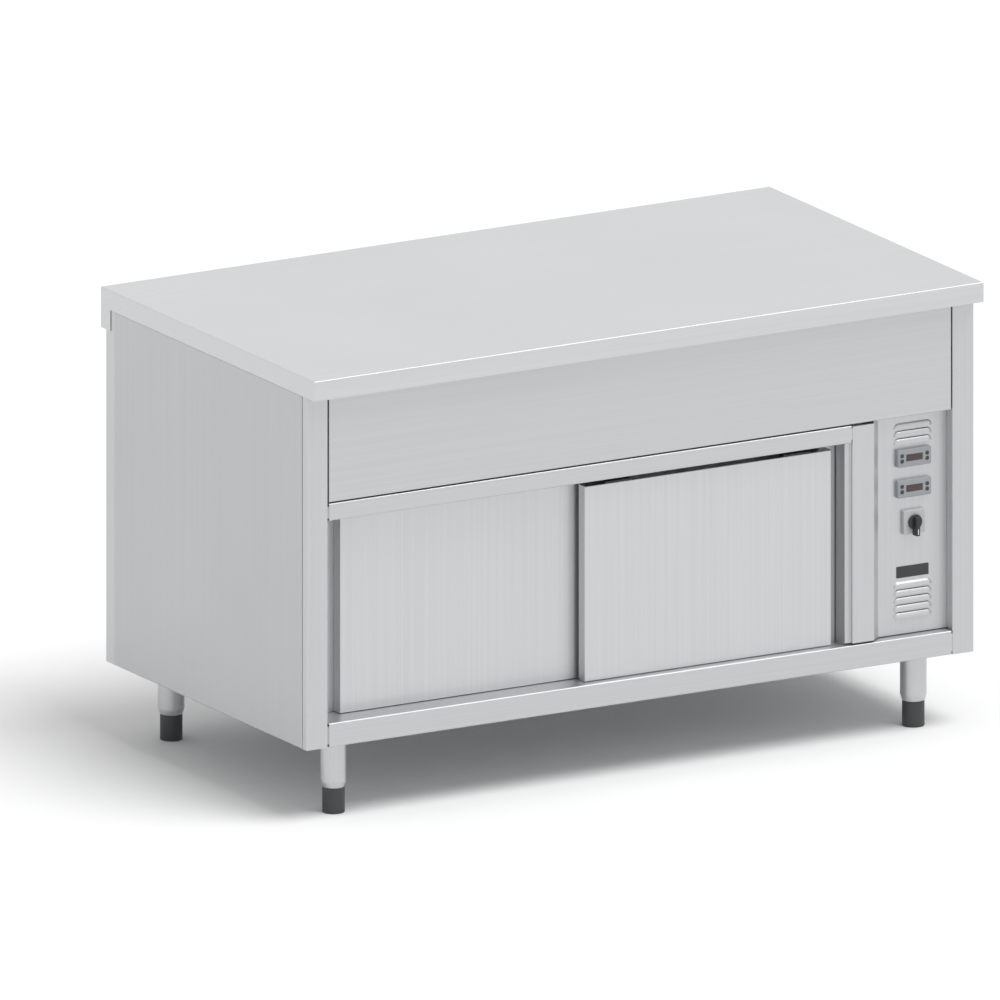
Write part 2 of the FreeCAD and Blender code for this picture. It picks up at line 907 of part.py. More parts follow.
def heater(middle):
    """Hairpin heating element of an even-sided section, and the saddles under it."""
    z = chamber_floor_z + heater_lift
    turn_x = -post_inner + heater_end_gap
    section = even_sided(heater_sides, heater_radius * 2)
    leg_span = (turn_x, chamber_right + heater_terminal)
    parts = []
    for side in (-1, 1):
        y = middle + side * heater_half_pitch
        parts.append(prism("yz", [(y + u, z + v) for u, v in section], leg_span))
    near = middle - heater_half_pitch
    end = Part.Face(outline("yz", [(near + u, z + v) for u, v in section], [0] * heater_sides, turn_x))
    parts.append(end.revolve(Vector(turn_x, middle, z), Vector(0, 0, -1), 180))
    pitch = (chamber_right - turn_x) / (saddle_count + 1)
    height = (chamber_floor_z, z - heater_radius - fit_gap)
    width = spread(middle, (heater_half_pitch + saddle_margin) * 2)
    middles = [turn_x + pitch * (step + 1) for step in range(saddle_count)]
    saddles = [box(spread(place, saddle_width), width, height) for place in middles]
    return [united(parts)] + saddles


def chamber_heaters():
    """One heating element for the front half of the floor and one for the rear half."""
    return group([solid for middle in heater_places() for solid in heater(middle)])


def guard_slot(x, y):
    """Cutter for one long hole."""
    z_span = (guard_top - inner_sheet - overrun, guard_top + overrun)
    return box(spread(x, guard_slot_length), spread(y, guard_slot_width), z_span)


def heater_guard():
    """Slotted cover over the heating elements, on which the lower plates stand."""
    front = chamber_face + shelf_front_gap
    rear = chamber_rear - shelf_rear_gap
    path = [(rear, chamber_floor_z), (rear, guard_top), (front, guard_top), (front, chamber_floor_z)]
    x_span = inset((-post_inner, chamber_right), upright_projection + shelf_side_gap)
    cover = folded("yz", path, x_span, inner_sheet)
    x_pitch = (x_span[1] - x_span[0]) / guard_slot_columns
    y_pitch = (rear - front) / guard_slot_rows
    slots = [
        guard_slot(x_span[0] + x_pitch * (column + 1 / 2), front + y_pitch * (row + 1 / 2))
        for column in range(guard_slot_columns)
        for row in range(guard_slot_rows)
    ]
    return cover.cut(slots)


# Doors and their running gear
def upper_door_track():
    """Plate under the head rail with two lipped rails and the end stops of the rollers."""
    x_span = (-post_inner + track_end_gap, chamber_right - track_end_gap)
    plate_bottom = track_z - track_sheet
    plate = box(x_span, (body_front + track_front, body_front + track_rear), (plate_bottom, track_z))
    parts = [plate]
    for depth in (front_door_depth, rear_door_depth):
        line = body_front + depth + rail_line
        web = line - track_web_setback
        lip = line + track_sheet / 2
        path = [(web, track_z), (web, rail_bottom), (lip, rail_bottom), (lip, rail_top)]
        parts.append(folded("yz", path, x_span, track_sheet, 0))
        for side, wheel in ((-1, roller_places(left_door_x)[0]), (1, roller_places(right_door_x)[1])):
            near = wheel + side * (roller_groove_radius + stop_play)
            ends = sorted((near, near + side * stop_thickness))
            height = (rail_bottom, rail_top + stop_height)
            parts.append(box(ends, (line - track_sheet / 2, lip), height))
    return united(parts)


def guide_tongue(depth):
    """Block on the ledge that runs in the slot under a door."""
    overlap_middle = (right_door_x + left_door_x + door_width) / 2
    y_span = spread(body_front + depth + door_thickness / 2, guide_tongue_thickness)
    return box(spread(overlap_middle, guide_tongue_width), y_span, (ledge, ledge + guide_tongue_height))


def lower_door_guides():
    """One guide for each door, where the two doors overlap."""
    return group([guide_tongue(depth) for depth in (front_door_depth, rear_door_depth)])


def door_shell(left, depth):
    """Outer skin of a door, slotted underneath for its guide."""
    front = body_front + depth
    x_span = (left, left + door_width)
    spans = (x_span, (front, front + door_thickness), (door_bottom, door_top))
    shell = pan(spans, 1, 1, door_skin, door_corner_radius)
    slot_y = spread(front + door_thickness / 2, guide_slot_width)
    slot_z = (door_bottom - overrun, door_bottom + door_skin + overrun)
    return shell.cut(box(inset(x_span, guide_slot_margin), slot_y, slot_z))


def door_liner(left, depth):
    """Inner skin that closes a door at the back."""
    back = body_front + depth + door_thickness
    x_span = inset((left, left + door_width), door_skin)
    z_span = inset((door_bottom, door_top), door_skin)
    return pan((x_span, (back - liner_return, back), z_span), 1, -1, inner_sheet, inner_sheet)


def roller_places(left):
    """Middle of a door's two rollers along X."""
    return inset((left, left + door_width), roller_end_margin)


def hanger(x, depth):
    """Angle bracket on top of a door, with the pin of its roller."""
    line = body_front + depth + rail_line
    plate_front = line + roller_half_width + roller_hub_gap
    plate_back = plate_front + hanger_plate
    x_span = spread(x, hanger_length)
    foot = box(x_span, (line - track_web_setback, plate_back), (door_top, door_top + hanger_plate))
    plate_top = roller_z + hanger_top_margin
    plate = box(x_span, (plate_front, plate_back), (door_top, plate_top))
    outer = line - roller_half_width - fit_gap
    pin_start = Vector(x, outer, roller_z)
    pin = cylinder(axle_radius, pin_start, Vector(0, 1, 0), plate_back - outer)
    head_points = [(x + u, roller_z + v) for u, v in even_sided(6, axle_head_width)]
    head = prism("xz", head_points, (outer - axle_head_thickness, outer))
    return united([foot, plate, pin, head])


def door_hangers(left, depth):
    """The two hangers of a door."""
    return group([hanger(x, depth) for x in roller_places(left)])


def roller(x, depth):
    """Grooved wheel on a hanger's pin."""
    bore = axle_radius + axle_play
    points = [
        (bore, -roller_half_width),
        (roller_radius, -roller_half_width),
        (roller_groove_radius, -roller_groove_half),
        (roller_groove_radius, roller_groove_half),
        (roller_radius, roller_half_width),
        (bore, roller_half_width),
    ]
    wheel = turned(points, Vector(0, 0, 0))
    wheel.rotate(Vector(0, 0, 0), Vector(1, 0, 0), 90)
    wheel.translate(Vector(x, body_front + depth + rail_line, roller_z))
    return wheel


# Legs
def leg_tube(x, y):
    """Round leg with its threaded stud, and the tapered end that guides the foot."""
    bore = spindle_radius + spindle_play
    tube_bore = leg_radius - leg_wall
    points = [
        (bore, leg_end_height),
        (leg_end_radius, leg_end_height),
        (leg_radius, leg_end_height + leg_taper_height),
        (leg_radius, body_bottom),
        (stud_radius, body_bottom),
        (stud_radius, body_bottom + stud_length),
        (0, body_bottom + stud_length),
        (0, body_bottom - leg_cap),
        (tube_bore, body_bottom - leg_cap),
        (tube_bore, leg_end_height + leg_plug_height),
        (bore, leg_end_height + leg_plug_height),
    ]
    return turned(points, Vector(x, y, 0))


def leg_tubes():
    """The four legs."""
    return group([leg_tube(x, y) for x, y in leg_places()])


def foot(x, y):
    """Levelling foot with the spindle that runs up into its leg."""
    top = leg_end_height - fit_gap
    points = [
        (0, 0),
        (foot_radius - foot_chamfer, 0),
        (foot_radius, foot_chamfer),
        (foot_radius, top),
        (spindle_radius, top),
        (spindle_radius, top + spindle_length),
        (0, top + spindle_length),
    ]
    return turned(points, Vector(x, y, 0))


# Control panel
def louvres_height(count):
    """Height of a block of louvres."""
    return louvre_pitch * (count - 1) + louvre_height


def control_levels():
    """Lower and upper edge of each block of controls, from the top down."""
    heights = (
        louvres_height(upper_louvre_count),
        thermostat_height,
        thermostat_height,
        switch_plate,
        plate_height,
        louvres_height(lower_louvre_count),
    )
    top = fascia_bottom
    free = top - ledge - panel_lift - sum(heights)
    levels = []
    for height, share in zip(heights, control_gap_shares):
        top -= free * share
        levels.append((top - height, top))
        top -= height
    return levels


def level_middle(index):
    """Middle height of a block of controls."""
    low, high = control_levels()[index]
    return (low + high) / 2


def thermostat_heights():
    """Middle of the upper and of the lower thermostat."""
    return [level_middle(1), level_middle(2)]


def switch_height():
    """Middle of the main switch."""
    return level_middle(3)


def louvre_heights():
    """Lower edge of every louvre, from the bottom up."""
    lower = control_levels()[-1][0]
    upper = control_levels()[0][0]
    starts = [(lower, lower_louvre_count), (upper, upper_louvre_count)]
    return [start + louvre_pitch * step for start, count in starts for step in range(count)]


def louvre_front(width, height):
    """Outline of a louvre seen from the front, with its lower edge at zero."""
    half = width / 2
    return [(-half, 0), (half, 0), (half - louvre_end_slope, height), (louvre_end_slope - half, height)]


def hood(width, height, depth):
    """Solid of a louvre's hood: it bulges forwards over its lower edge and has slanted ends."""
    start = -width / 2
    back = Vector(start, 0, 0)
    top = Vector(start, 0, height)
    bulge = Vector(start, -depth * louvre_bulge_depth_share, height * louvre_bulge_height_share)
    lip = Vector(start, -depth, 0)
    edges = [Part.LineSegment(back, top).toShape(), Part.Arc(top, bulge, lip).toShape()]
    edges.append(Part.LineSegment(lip, back).toShape())
    bar = Part.Face(Part.Wire(edges)).extrude(Vector(width, 0, 0))
    return bar.common(prism("xz", louvre_front(width, height), (-depth - overrun, overrun)))


def add_louvres(panel):
    """The panel with its pressed louvres: hollow hoods that open downwards over a slot."""
    inner_width = louvre_width - louvre_wall * 2
    inner_height = louvre_height - louvre_wall
    hollow = hood(inner_width, inner_height, louvre_depth - louvre_wall)
    shell = hood(louvre_width, louvre_height, louvre_depth).cut(hollow)
    slot = prism("xz", louvre_front(inner_width, inner_height), (-overrun, sheet + overrun))
    places = [Vector(control_middle, panel_face, height) for height in louvre_heights()]
    panel = panel.cut([slot.translated(place) for place in places])
    return united([panel] + [shell.translated(place) for place in places])


def control_panel():
    """Recessed panel with a slanted left wing, its cut-outs and its louvres."""
    wing_start = centre_right + fit_gap + sheet
    right = post_inner - fit_gap
    path = [
        (wing_start, body_front + panel_left_setback),
        (centre_right + panel_wing_width, panel_face),
        (right, panel_face),
    ]
    panel = folded("xy", path, (ledge + panel_lift, fascia_bottom + panel_top_overlap))
    cut_y = (panel_face - overrun, panel_face + sheet + overrun)
    width = thermostat_case_width + thermostat_play * 2
    height = thermostat_case_height + thermostat_play * 2
    cuts = [box(spread(control_middle, width), cut_y, spread(z, height)) for z in thermostat_heights()]
    switch_hole = switch_case + thermostat_play * 2
    cuts.append(box(spread(control_middle, switch_hole), cut_y, spread(switch_height(), switch_hole)))
    wing_x = (centre_right - overrun, centre_right + panel_wing_width + bend)
    wing_y = (body_front, panel_face + sheet + overrun)
    cuts.append(box(wing_x, wing_y, (head_top, fascia_bottom + panel_top_overlap + overrun)))
    return add_louvres(panel.cut(cuts))


def button_offsets():
    """Name and place of a thermostat's four buttons, from its middle."""
    sides = (("left", -button_offset_x), ("right", button_offset_x))
    levels = (("top", button_offset_z), ("low", -button_offset_z))
    return [(f"{side}_{level}", x, z) for side, x in sides for level, z in levels]


def thermostat(z):
    """Digital thermostat: front with a sunk window and four button pockets, and the case behind it."""
    front = panel_face - thermostat_depth
    x_span = spread(control_middle, thermostat_width)
    z_span = spread(z, thermostat_height)
    bezel = rolled(box(x_span, (front, panel_face), z_span), 1, 1, thermostat_corner)
    case_x = spread(control_middle, thermostat_case_width)
    case_z = spread(z, thermostat_case_height)
    case = box(case_x, (panel_face, panel_face + thermostat_case_length), case_z)
    body = united([bezel, case])
    window_y = (front - overrun, front + window_recess)
    cuts = [box(spread(control_middle, window_width), window_y, spread(z, window_height))]
    pocket = button_size + button_play * 2
    pocket_depth = button_length - button_proud + button_travel + button_bottom_play
    for _, x, dz in button_offsets():
        pocket_y = (front - overrun, front + pocket_depth)
        cuts.append(box(spread(control_middle + x, pocket), pocket_y, spread(z + dz, pocket)))
    return body.cut(cuts)


def button(x, z):
    """Square push button."""
    front = panel_face - thermostat_depth - button_proud
    y_span = (front, front + button_length)
    block = box(spread(control_middle + x, button_size), y_span, spread(z, button_size))
    edges = [edge for edge in block.Edges if abs(edge.CenterOfMass.y - front) < tolerance]
    return block.makeChamfer(button_proud / 2, edges)


def switch_body():
    """Main switch: square front plate, shaft, and the case behind the panel."""
    z = switch_height()
    front = panel_face - switch_plate_depth
    x_span = spread(control_middle, switch_plate)
    plate = rolled(box(x_span, (front, panel_face), spread(z, switch_plate)), 1, 1, switch_corner)
    case_y = (panel_face, panel_face + switch_case_length)
    case = box(spread(control_middle, switch_case), case_y, spread(z, switch_case))
    shaft_start = Vector(control_middle, front - switch_shaft_length, z)
    shaft = cylinder(switch_shaft_radius, shaft_start, Vector(0, 1, 0), switch_shaft_length + switch_corner)
    return united([plate, case, shaft])


def switch_knob():
    """Round base with a grip bar that points down at rest."""
    z = switch_height()
    back = panel_face - switch_plate_depth - fit_gap
    base = cylinder(knob_base_radius, Vector(control_middle, back, z), Vector(0, -1, 0), knob_base_depth)
    bar_y = (back - knob_depth + fit_gap, back)
    bar = box(spread(control_middle, knob_bar_width), bar_y, (z - knob_bar_down, z + knob_bar_up))
    bar = rolled(bar, 1, 1, knob_edge_radius)
    bore = switch_shaft_radius + spindle_play
    depth = switch_shaft_length + fit_gap
    start = Vector(control_middle, back + overrun, z)
    hole = cylinder(bore, start, Vector(0, -1, 0), depth + overrun)
    return united([base, bar]).cut(hole)


def blank_plate():
    """Dark bare plate under the switch."""
    points = rectangle(spread(control_middle, plate_width), control_levels()[4])
    return prism("xz", points, (panel_face - plate_thickness, panel_face), [plate_corner] * 4)


# Supply entry
def gland_place():
    """Middle of the cable gland, on the underside of the base panel."""
    return Vector(post_inner - gland_x_inset, leg_y - gland_y_inset, body_bottom)


def cable_gland():
    """Gland through the base panel with its bore, dome nut, hexagon and lock nut."""
    place = gland_place()
    hex_low = place - Vector(0, 0, gland_hex_height)
    sheet_top = place + Vector(0, 0, sheet)
    dome_low = -gland_hex_height - gland_dome_height
    thread_top = sheet + gland_nut_height + gland_hole_play
    points = [
        (gland_bore_radius, dome_low),
        (gland_dome_mouth_radius, dome_low),
        (gland_dome_radius, -gland_hex_height / 2),
        (gland_thread_radius, -gland_hex_height / 2),
        (gland_thread_radius, thread_top),
        (gland_bore_radius, thread_top),
    ]
    sleeve = turned(points, place)
    nuts = [hexagon(gland_hex_width, hex_low, gland_hex_height)]
    nuts.append(hexagon(gland_hex_width, sheet_top, gland_nut_height))
    start = place + Vector(0, 0, dome_low - overrun)
    length = thread_top - dome_low + overrun * 2
    return united([sleeve] + nuts).cut(cylinder(gland_bore_radius, start, Vector(0, 0, 1), length))


def terminal_block():
    """Supply terminals on the base panel, beside the gland."""
    place = gland_place()
    y = place.y + terminal_gap
    floor = body_bottom + sheet
    foot_top = floor + terminal_foot
    foot_part = box(spread(place.x, terminal_length), spread(y, terminal_depth), (floor, foot_top))
    block_x = inset(spread(place.x, terminal_length), terminal_foot)
    block = box(block_x, spread(y, terminal_depth), (floor, floor + terminal_height))
    pitch = (block_x[1] - block_x[0]) / terminal_slot_count
    top = (floor + terminal_height - terminal_slot_depth, floor + terminal_height + overrun)
    slots = [
        box(
            spread(block_x[0] + pitch * (step + 1 / 2), terminal_slot),
            spread(y, terminal_depth + overrun),
            top,
        )
        for step in range(terminal_slot_count)
    ]
    return united([foot_part, block]).cut(slots)


# The whole cupboard
def door_pieces(name, left, depth):
    """Every piece that belongs to one door."""
    pieces = {
        f"{name}_door_shell": door_shell(left, depth),
        f"{name}_door_liner": door_liner(left, depth),
        f"{name}_door_hangers": door_hangers(left, depth),
    }
    for side, x in zip(("left", "right"), roller_places(left)):
        pieces[f"{name}_door_{side}_roller"] = roller(x, depth)
    return pieces


def control_pieces():
    """Thermostats, buttons, switch and plate."""
    pieces = {"control_panel": control_panel(), "blank_plate": blank_plate()}
    for row, z in zip(("upper", "lower"), thermostat_heights()):
        pieces[f"{row}_thermostat"] = thermostat(z)
        for place, x, dz in button_offsets():
            pieces[f"{row}_{place}_button"] = button(x, z + dz)
    pieces["switch_body"] = switch_body()
    pieces["switch_knob"] = switch_knob()
    return pieces


def leg_pieces():
    """Legs and feet."""
    pieces = {"leg_tubes": leg_tubes()}
    names = ("front_left_foot", "front_right_foot", "rear_left_foot", "rear_right_foot")
    for name, (x, y) in zip(names, leg_places()):
        pieces[name] = foot(x, y)
    return pieces


def all_pieces():
    """Name and solid of every piece."""
    makers = [
        worktop, worktop_stiffeners, front_left_post, front_right_post, rear_left_post,
        left_side_panel, rear_panel, base_panel, bottom_rail, door_head_rail, front_fascia,
        centre_post, left_jamb, right_jamb, chamber_floor, chamber_ceiling, chamber_rear_wall,
        chamber_left_wall, chamber_right_wall, chamber_insulation, shelf_uprights, shelf_brackets,
        shelf, chamber_heaters, heater_guard, upper_door_track, lower_door_guides, cable_gland,
        terminal_block,
    ]
    pieces = {maker.__name__: maker() for maker in makers}
    pieces["rear_right_post"] = mirrored(pieces["rear_left_post"])
    pieces["right_side_panel"] = mirrored(pieces["left_side_panel"])
    pieces.update(door_pieces("left", left_door_x, rear_door_depth))
    pieces.update(door_pieces("right", right_door_x, front_door_depth))
    pieces.update(control_pieces())
    pieces.update(leg_pieces())
    return pieces


def main():
    """Writes one STEP file for every piece."""
    os.makedirs("parts", exist_ok=True)
    for name, solid in all_pieces().items():
        solid.exportStep(f"parts/{name}.step")
        print(name, len(solid.Solids), "solids, valid" if solid.isValid() else "solids, NOT VALID")


main()
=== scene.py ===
import logging
import math
from collections.abc import Iterable, Sequence
from dataclasses import dataclass, replace
from enum import Enum

import bmesh
import bpy
from mathutils import Matrix, Vector


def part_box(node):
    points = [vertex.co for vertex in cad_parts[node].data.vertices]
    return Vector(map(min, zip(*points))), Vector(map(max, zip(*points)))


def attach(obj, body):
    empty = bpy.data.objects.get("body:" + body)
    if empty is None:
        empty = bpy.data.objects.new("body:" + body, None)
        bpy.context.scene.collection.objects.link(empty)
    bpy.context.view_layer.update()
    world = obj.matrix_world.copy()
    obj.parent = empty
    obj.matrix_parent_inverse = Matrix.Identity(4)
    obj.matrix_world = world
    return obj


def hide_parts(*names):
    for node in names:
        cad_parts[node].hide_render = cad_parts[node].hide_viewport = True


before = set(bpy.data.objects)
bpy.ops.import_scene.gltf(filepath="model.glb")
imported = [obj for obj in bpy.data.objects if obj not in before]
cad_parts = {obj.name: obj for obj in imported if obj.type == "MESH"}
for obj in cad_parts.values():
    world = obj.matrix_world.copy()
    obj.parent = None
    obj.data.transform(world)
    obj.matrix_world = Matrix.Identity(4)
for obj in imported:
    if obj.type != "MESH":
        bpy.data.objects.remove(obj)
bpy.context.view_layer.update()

# Looks of the heated cupboard for plates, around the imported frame. Metres, +Z up, working side towards -Y.

TURN = 2 * math.pi
FORWARDS = Matrix.Rotation(math.pi / 2, 4, "X")
SHARP_ANGLE = math.radians(28)
RIM_ANGLE = math.radians(60)
ROUND_STEPS = 72
WELD = 1e-6
WAVES_AT_SCALE_ONE = 3.18

Triple = tuple[float, float, float]
Colour = tuple[float, float, float]
Point = tuple[float, float]
Span = tuple[float, float]
Area = tuple[Span, Span]

WHOLE: Span = (0.0, 1.0)
MOST: Span = (0.3, 0.7)

log = logging.getLogger("cupboard")


class Grain(Enum):
    """Axis along which a sheet is brushed."""

    ACROSS = 0
    INWARDS = 1
    UPRIGHT = 2


# Finishes


@dataclass(frozen=True)
class Noise:
    """A noise: waves per metre, in all or along each axis, octaves, and strength of the finer octaves."""

    waves: float | Triple
    octaves: float = 2.0
    rough: float = 0.5


class Shader:
    """Small writer of one material's nodes."""

    def __init__(self, name: str) -> None:
        """Starts a material.

        Args:
            name: Name of the material.
        """
        self.material = bpy.data.materials.new(name)
        self.material.use_nodes = True
        self.tree = self.material.node_tree
        self.surface = self.tree.nodes["Principled BSDF"]

    def node(self, kind: str, **settings: object) -> bpy.types.Node:
        """Adds a node.

        Args:
            kind: Blender's name of the node, without its Shader prefix.
            **settings: Properties of the node.

        Returns:
            The new node.
        """
        made = self.tree.nodes.new("ShaderNode" + kind)
        for key, value in settings.items():
            setattr(made, key, value)
        return made

    def feed(self, target: bpy.types.Node, socket: str | int, value: object) -> None:
        """Sets or links one input.

        Args:
            target: Node that is fed.
            socket: Name or number of its input.
            value: An output socket to link, or a constant.
        """
        if isinstance(value, bpy.types.NodeSocket):
            self.tree.links.new(value, target.inputs[socket])
        else:
            target.inputs[socket].default_value = value

    def surface_values(self, **values: object) -> None:
        """Sets the main shader's inputs; underscores in their names stand for spaces."""
        for key, value in values.items():
            self.feed(self.surface, key.replace("_", " "), value)

    def place(self, waves: float | Triple) -> bpy.types.NodeSocket:
        """Gives object coordinates, counted in waves of a pattern.

        Args:
            waves: Waves per metre, in all or along each axis.

        Returns:
            The vector output.
        """
        mapping = self.node("Mapping")
        self.feed(mapping, "Vector", self.node("TexCoord").outputs["Object"])
        self.feed(mapping, "Scale", waves if isinstance(waves, tuple) else (waves, waves, waves))
        return mapping.outputs["Vector"]

    def noise(self, numbers: Noise) -> bpy.types.NodeSocket:
        """Gives a noise between 0 and 1.

        Args:
            numbers: Its numbers.

        Returns:
            The factor output.
        """
        made = self.node("TexNoise")
        self.feed(made, "Vector", self.place(numbers.waves))
        self.feed(made, "Scale", 1.0)
        self.feed(made, "Detail", numbers.octaves)
        self.feed(made, "Roughness", numbers.rough)
        return made.outputs["Fac"]

    def remap(self, value: bpy.types.NodeSocket, low: Span, high: Span) -> bpy.types.NodeSocket:
        """Maps one span of values onto another.

        Args:
            value: The value to map.
            low: Its lowest and highest value.
            high: What these become.

        Returns:
            The mapped value.
        """
        made = self.node("MapRange")
        for socket, number in zip(("From Min", "From Max", "To Min", "To Max"), (*low, *high)):
            self.feed(made, socket, number)
        self.feed(made, "Value", value)
        return made.outputs["Result"]

    def join(self, operation: str, first: bpy.types.NodeSocket, second: object) -> bpy.types.NodeSocket:
        """Combines two values.

        Args:
            operation: Name of the arithmetic, such as ADD.
            first: First value.
            second: Second value, a socket or a number.

        Returns:
            The combined value.
        """
        made = self.node("Math", operation=operation)
        self.feed(made, 0, first)
        self.feed(made, 1, second)
        return made.outputs[0]

    def mixed(
        self, first: bpy.types.NodeSocket, second: bpy.types.NodeSocket, share: float
    ) -> bpy.types.NodeSocket:
        """Mixes two values, the first by its share and the second by the rest."""
        rest = self.join("MULTIPLY", second, 1 - share)
        return self.join("ADD", self.join("MULTIPLY", first, share), rest)

    def blend(self, share: bpy.types.NodeSocket, first: Colour, second: Colour) -> bpy.types.NodeSocket:
        """Blends two colours.

        Args:
            share: Share of the second colour.
            first: First colour.
            second: Second colour.

        Returns:
            The blended colour.
        """
        made = self.node("Mix", data_type="RGBA")
        self.feed(made, "Factor", share)
        self.feed(made, 6, (*first, 1.0))
        self.feed(made, 7, (*second, 1.0))
        return made.outputs[2]

    def shaded(self, share: bpy.types.NodeSocket, colour: Colour, shades: Span) -> bpy.types.NodeSocket:
        """Blends a darker and a lighter shade of a colour, by the share of the lighter one."""
        dark, light = (tuple(min(1.0, part * factor) for part in colour) for factor in shades)
        return self.blend(share, dark, light)

    def relief(self, height: bpy.types.NodeSocket, strength: float, depth: float) -> None:
        """Gives the surface a bump.

        Args:
            height: Height of the relief.
            strength: How much of it shows.
            depth: Its depth in metres.
        """
        bump = self.node("Bump")
        self.feed(bump, "Strength", strength)
        self.feed(bump, "Distance", depth)
        self.feed(bump, "Height", height)
        self.feed(self.surface, "Normal", bump.outputs["Normal"])


@dataclass(frozen=True)
class BrushedSteel:
    """Stainless sheet or tube with hairline grain, faint handling marks and uneven polish."""

    name: str
    colour: Colour = (0.55, 0.556, 0.566)
    grain: Grain = Grain.ACROSS
    roughness: float = 0.37
    uneven: Span = (-0.06, 0.08)
    metallic: float = 0.82
    hairs: Noise = Noise(1500.0, 2.0, 0.6)
    streaks: Noise = Noise(260.0, 2.0)
    marks: Noise = Noise(2.3, 2.0)
    stretch: float = 0.0022
    hair_share: float = 0.55
    line_share: float = 0.5
    line_span: Span = (0.34, 0.66)
    polish_span: Span = (0.36, 0.64)
    contrast: float = 0.045
    relief: float = 0.16
    depth: float = 0.0001

    def along(self, noise: Noise) -> Noise:
        """Draws a noise out along the grain."""
        factors = [self.stretch if axis == self.grain.value else 1.0 for axis in range(3)]
        return replace(noise, waves=tuple(noise.waves * factor for factor in factors))

    def material(self) -> bpy.types.Material:
        """Writes the material.

        Returns:
            The material.
        """
        shader = Shader(self.name)
        hairs = shader.noise(self.along(self.hairs))
        streaks = shader.noise(self.along(self.streaks))
        lines = shader.mixed(hairs, streaks, self.hair_share)
        tone = shader.remap(lines, self.line_span, WHOLE)
        polish = shader.mixed(lines, shader.noise(self.marks), self.line_share)
        smooth, dull = (self.roughness + change for change in self.uneven)
        shader.surface_values(
            Base_Color=shader.shaded(tone, self.colour, (1 - self.contrast, 1 + self.contrast)),
            Metallic=self.metallic,
            Roughness=shader.remap(polish, self.polish_span, (smooth, dull)),
        )
        shader.relief(lines, self.relief, self.depth)
        return shader.material


@dataclass(frozen=True)
class GalvanisedSteel:
    """Zinc-coated sheet with its spangle."""

    name: str = "galvanised_sheet"
    colour: Colour = (0.46, 0.475, 0.49)
    metallic: float = 0.92
    spangle: float = 140.0
    contrast: float = 0.06
    clouds: Noise = Noise(22.0, 4.0)
    polish: Span = (0.48, 0.64)
    relief: float = 0.10
    depth: float = 0.0001

    def material(self) -> bpy.types.Material:
        """Writes the material.

        Returns:
            The material.
        """
        shader = Shader(self.name)
        cells = shader.node("TexVoronoi")
        shader.feed(cells, "Vector", shader.place(self.spangle))
        shader.feed(cells, "Scale", 1.0)
        tone = shader.node("SeparateColor")
        shader.feed(tone, "Color", cells.outputs["Color"])
        shades = (1 - self.contrast, 1 + self.contrast)
        shader.surface_values(
            Base_Color=shader.shaded(tone.outputs["Red"], self.colour, shades),
            Metallic=self.metallic,
            Roughness=shader.remap(shader.noise(self.clouds), MOST, self.polish),
        )
        shader.relief(cells.outputs["Distance"], self.relief, self.depth)
        return shader.material


@dataclass(frozen=True)
class MouldedPlastic:
    """Injection-moulded plastic with a fine spark-eroded texture."""

    name: str
    colour: Colour
    roughness: float = 0.45
    uneven: Span = (-0.05, 0.07)
    pits: Noise = Noise(2600.0, 3.0, 0.7)
    flow: Noise = Noise(28.0, 3.0)
    shades: Span = (0.90, 1.10)
    refraction: float = 1.5
    relief: float = 0.35
    depth: float = 0.00005

    def material(self) -> bpy.types.Material:
        """Writes the material.

        Returns:
            The material.
        """
        shader = Shader(self.name)
        flow = shader.noise(self.flow)
        smooth, dull = (self.roughness + change for change in self.uneven)
        shader.surface_values(
            Base_Color=shader.shaded(flow, self.colour, self.shades),
            Roughness=shader.remap(flow, MOST, (smooth, dull)),
            IOR=self.refraction,
        )
        shader.relief(shader.noise(self.pits), self.relief, self.depth)
        return shader.material


@dataclass(frozen=True)
class DisplayGlass:
    """Tinted window over a display that is switched off."""

    name: str = "tinted_window"
    colour: Colour = (0.018, 0.012, 0.013)
    glow: Colour = (0.055, 0.016, 0.016)
    clouds: Noise = Noise(60.0, 2.0)
    cloud_span: Span = (0.2, 0.8)
    polish: Span = (0.05, 0.12)
    refraction: float = 1.49
    coat: float = 0.6

    def material(self) -> bpy.types.Material:
        """Writes the material.

        Returns:
            The material.
        """
        shader = Shader(self.name)
        clouds = shader.noise(self.clouds)
        shader.surface_values(
            Base_Color=shader.blend(clouds, self.colour, self.glow),
            Roughness=shader.remap(clouds, self.cloud_span, self.polish),
            IOR=self.refraction,
            Coat_Weight=self.coat,
        )
        return shader.material


@dataclass(frozen=True)
class SatinPaint:
    """Black lacquer on a thin plate, slightly rubbed."""

    name: str = "black_plate_lacquer"
    colour: Colour = (0.022, 0.022, 0.024)
    rubbing: Noise = Noise(140.0, 5.0, 0.7)
    shades: Span = (1.0, 1.9)
    polish: Span = (0.28, 0.44)
    relief: float = 0.12
    depth: float = 0.00004

    def material(self) -> bpy.types.Material:
        """Writes the material.

        Returns:
            The material.
        """
        shader = Shader(self.name)
        rubbed = shader.noise(self.rubbing)
        shader.surface_values(
            Base_Color=shader.shaded(rubbed, self.colour, self.shades),
            Roughness=shader.remap(rubbed, MOST, self.polish),
        )
        shader.relief(rubbed, self.relief, self.depth)
        return shader.material


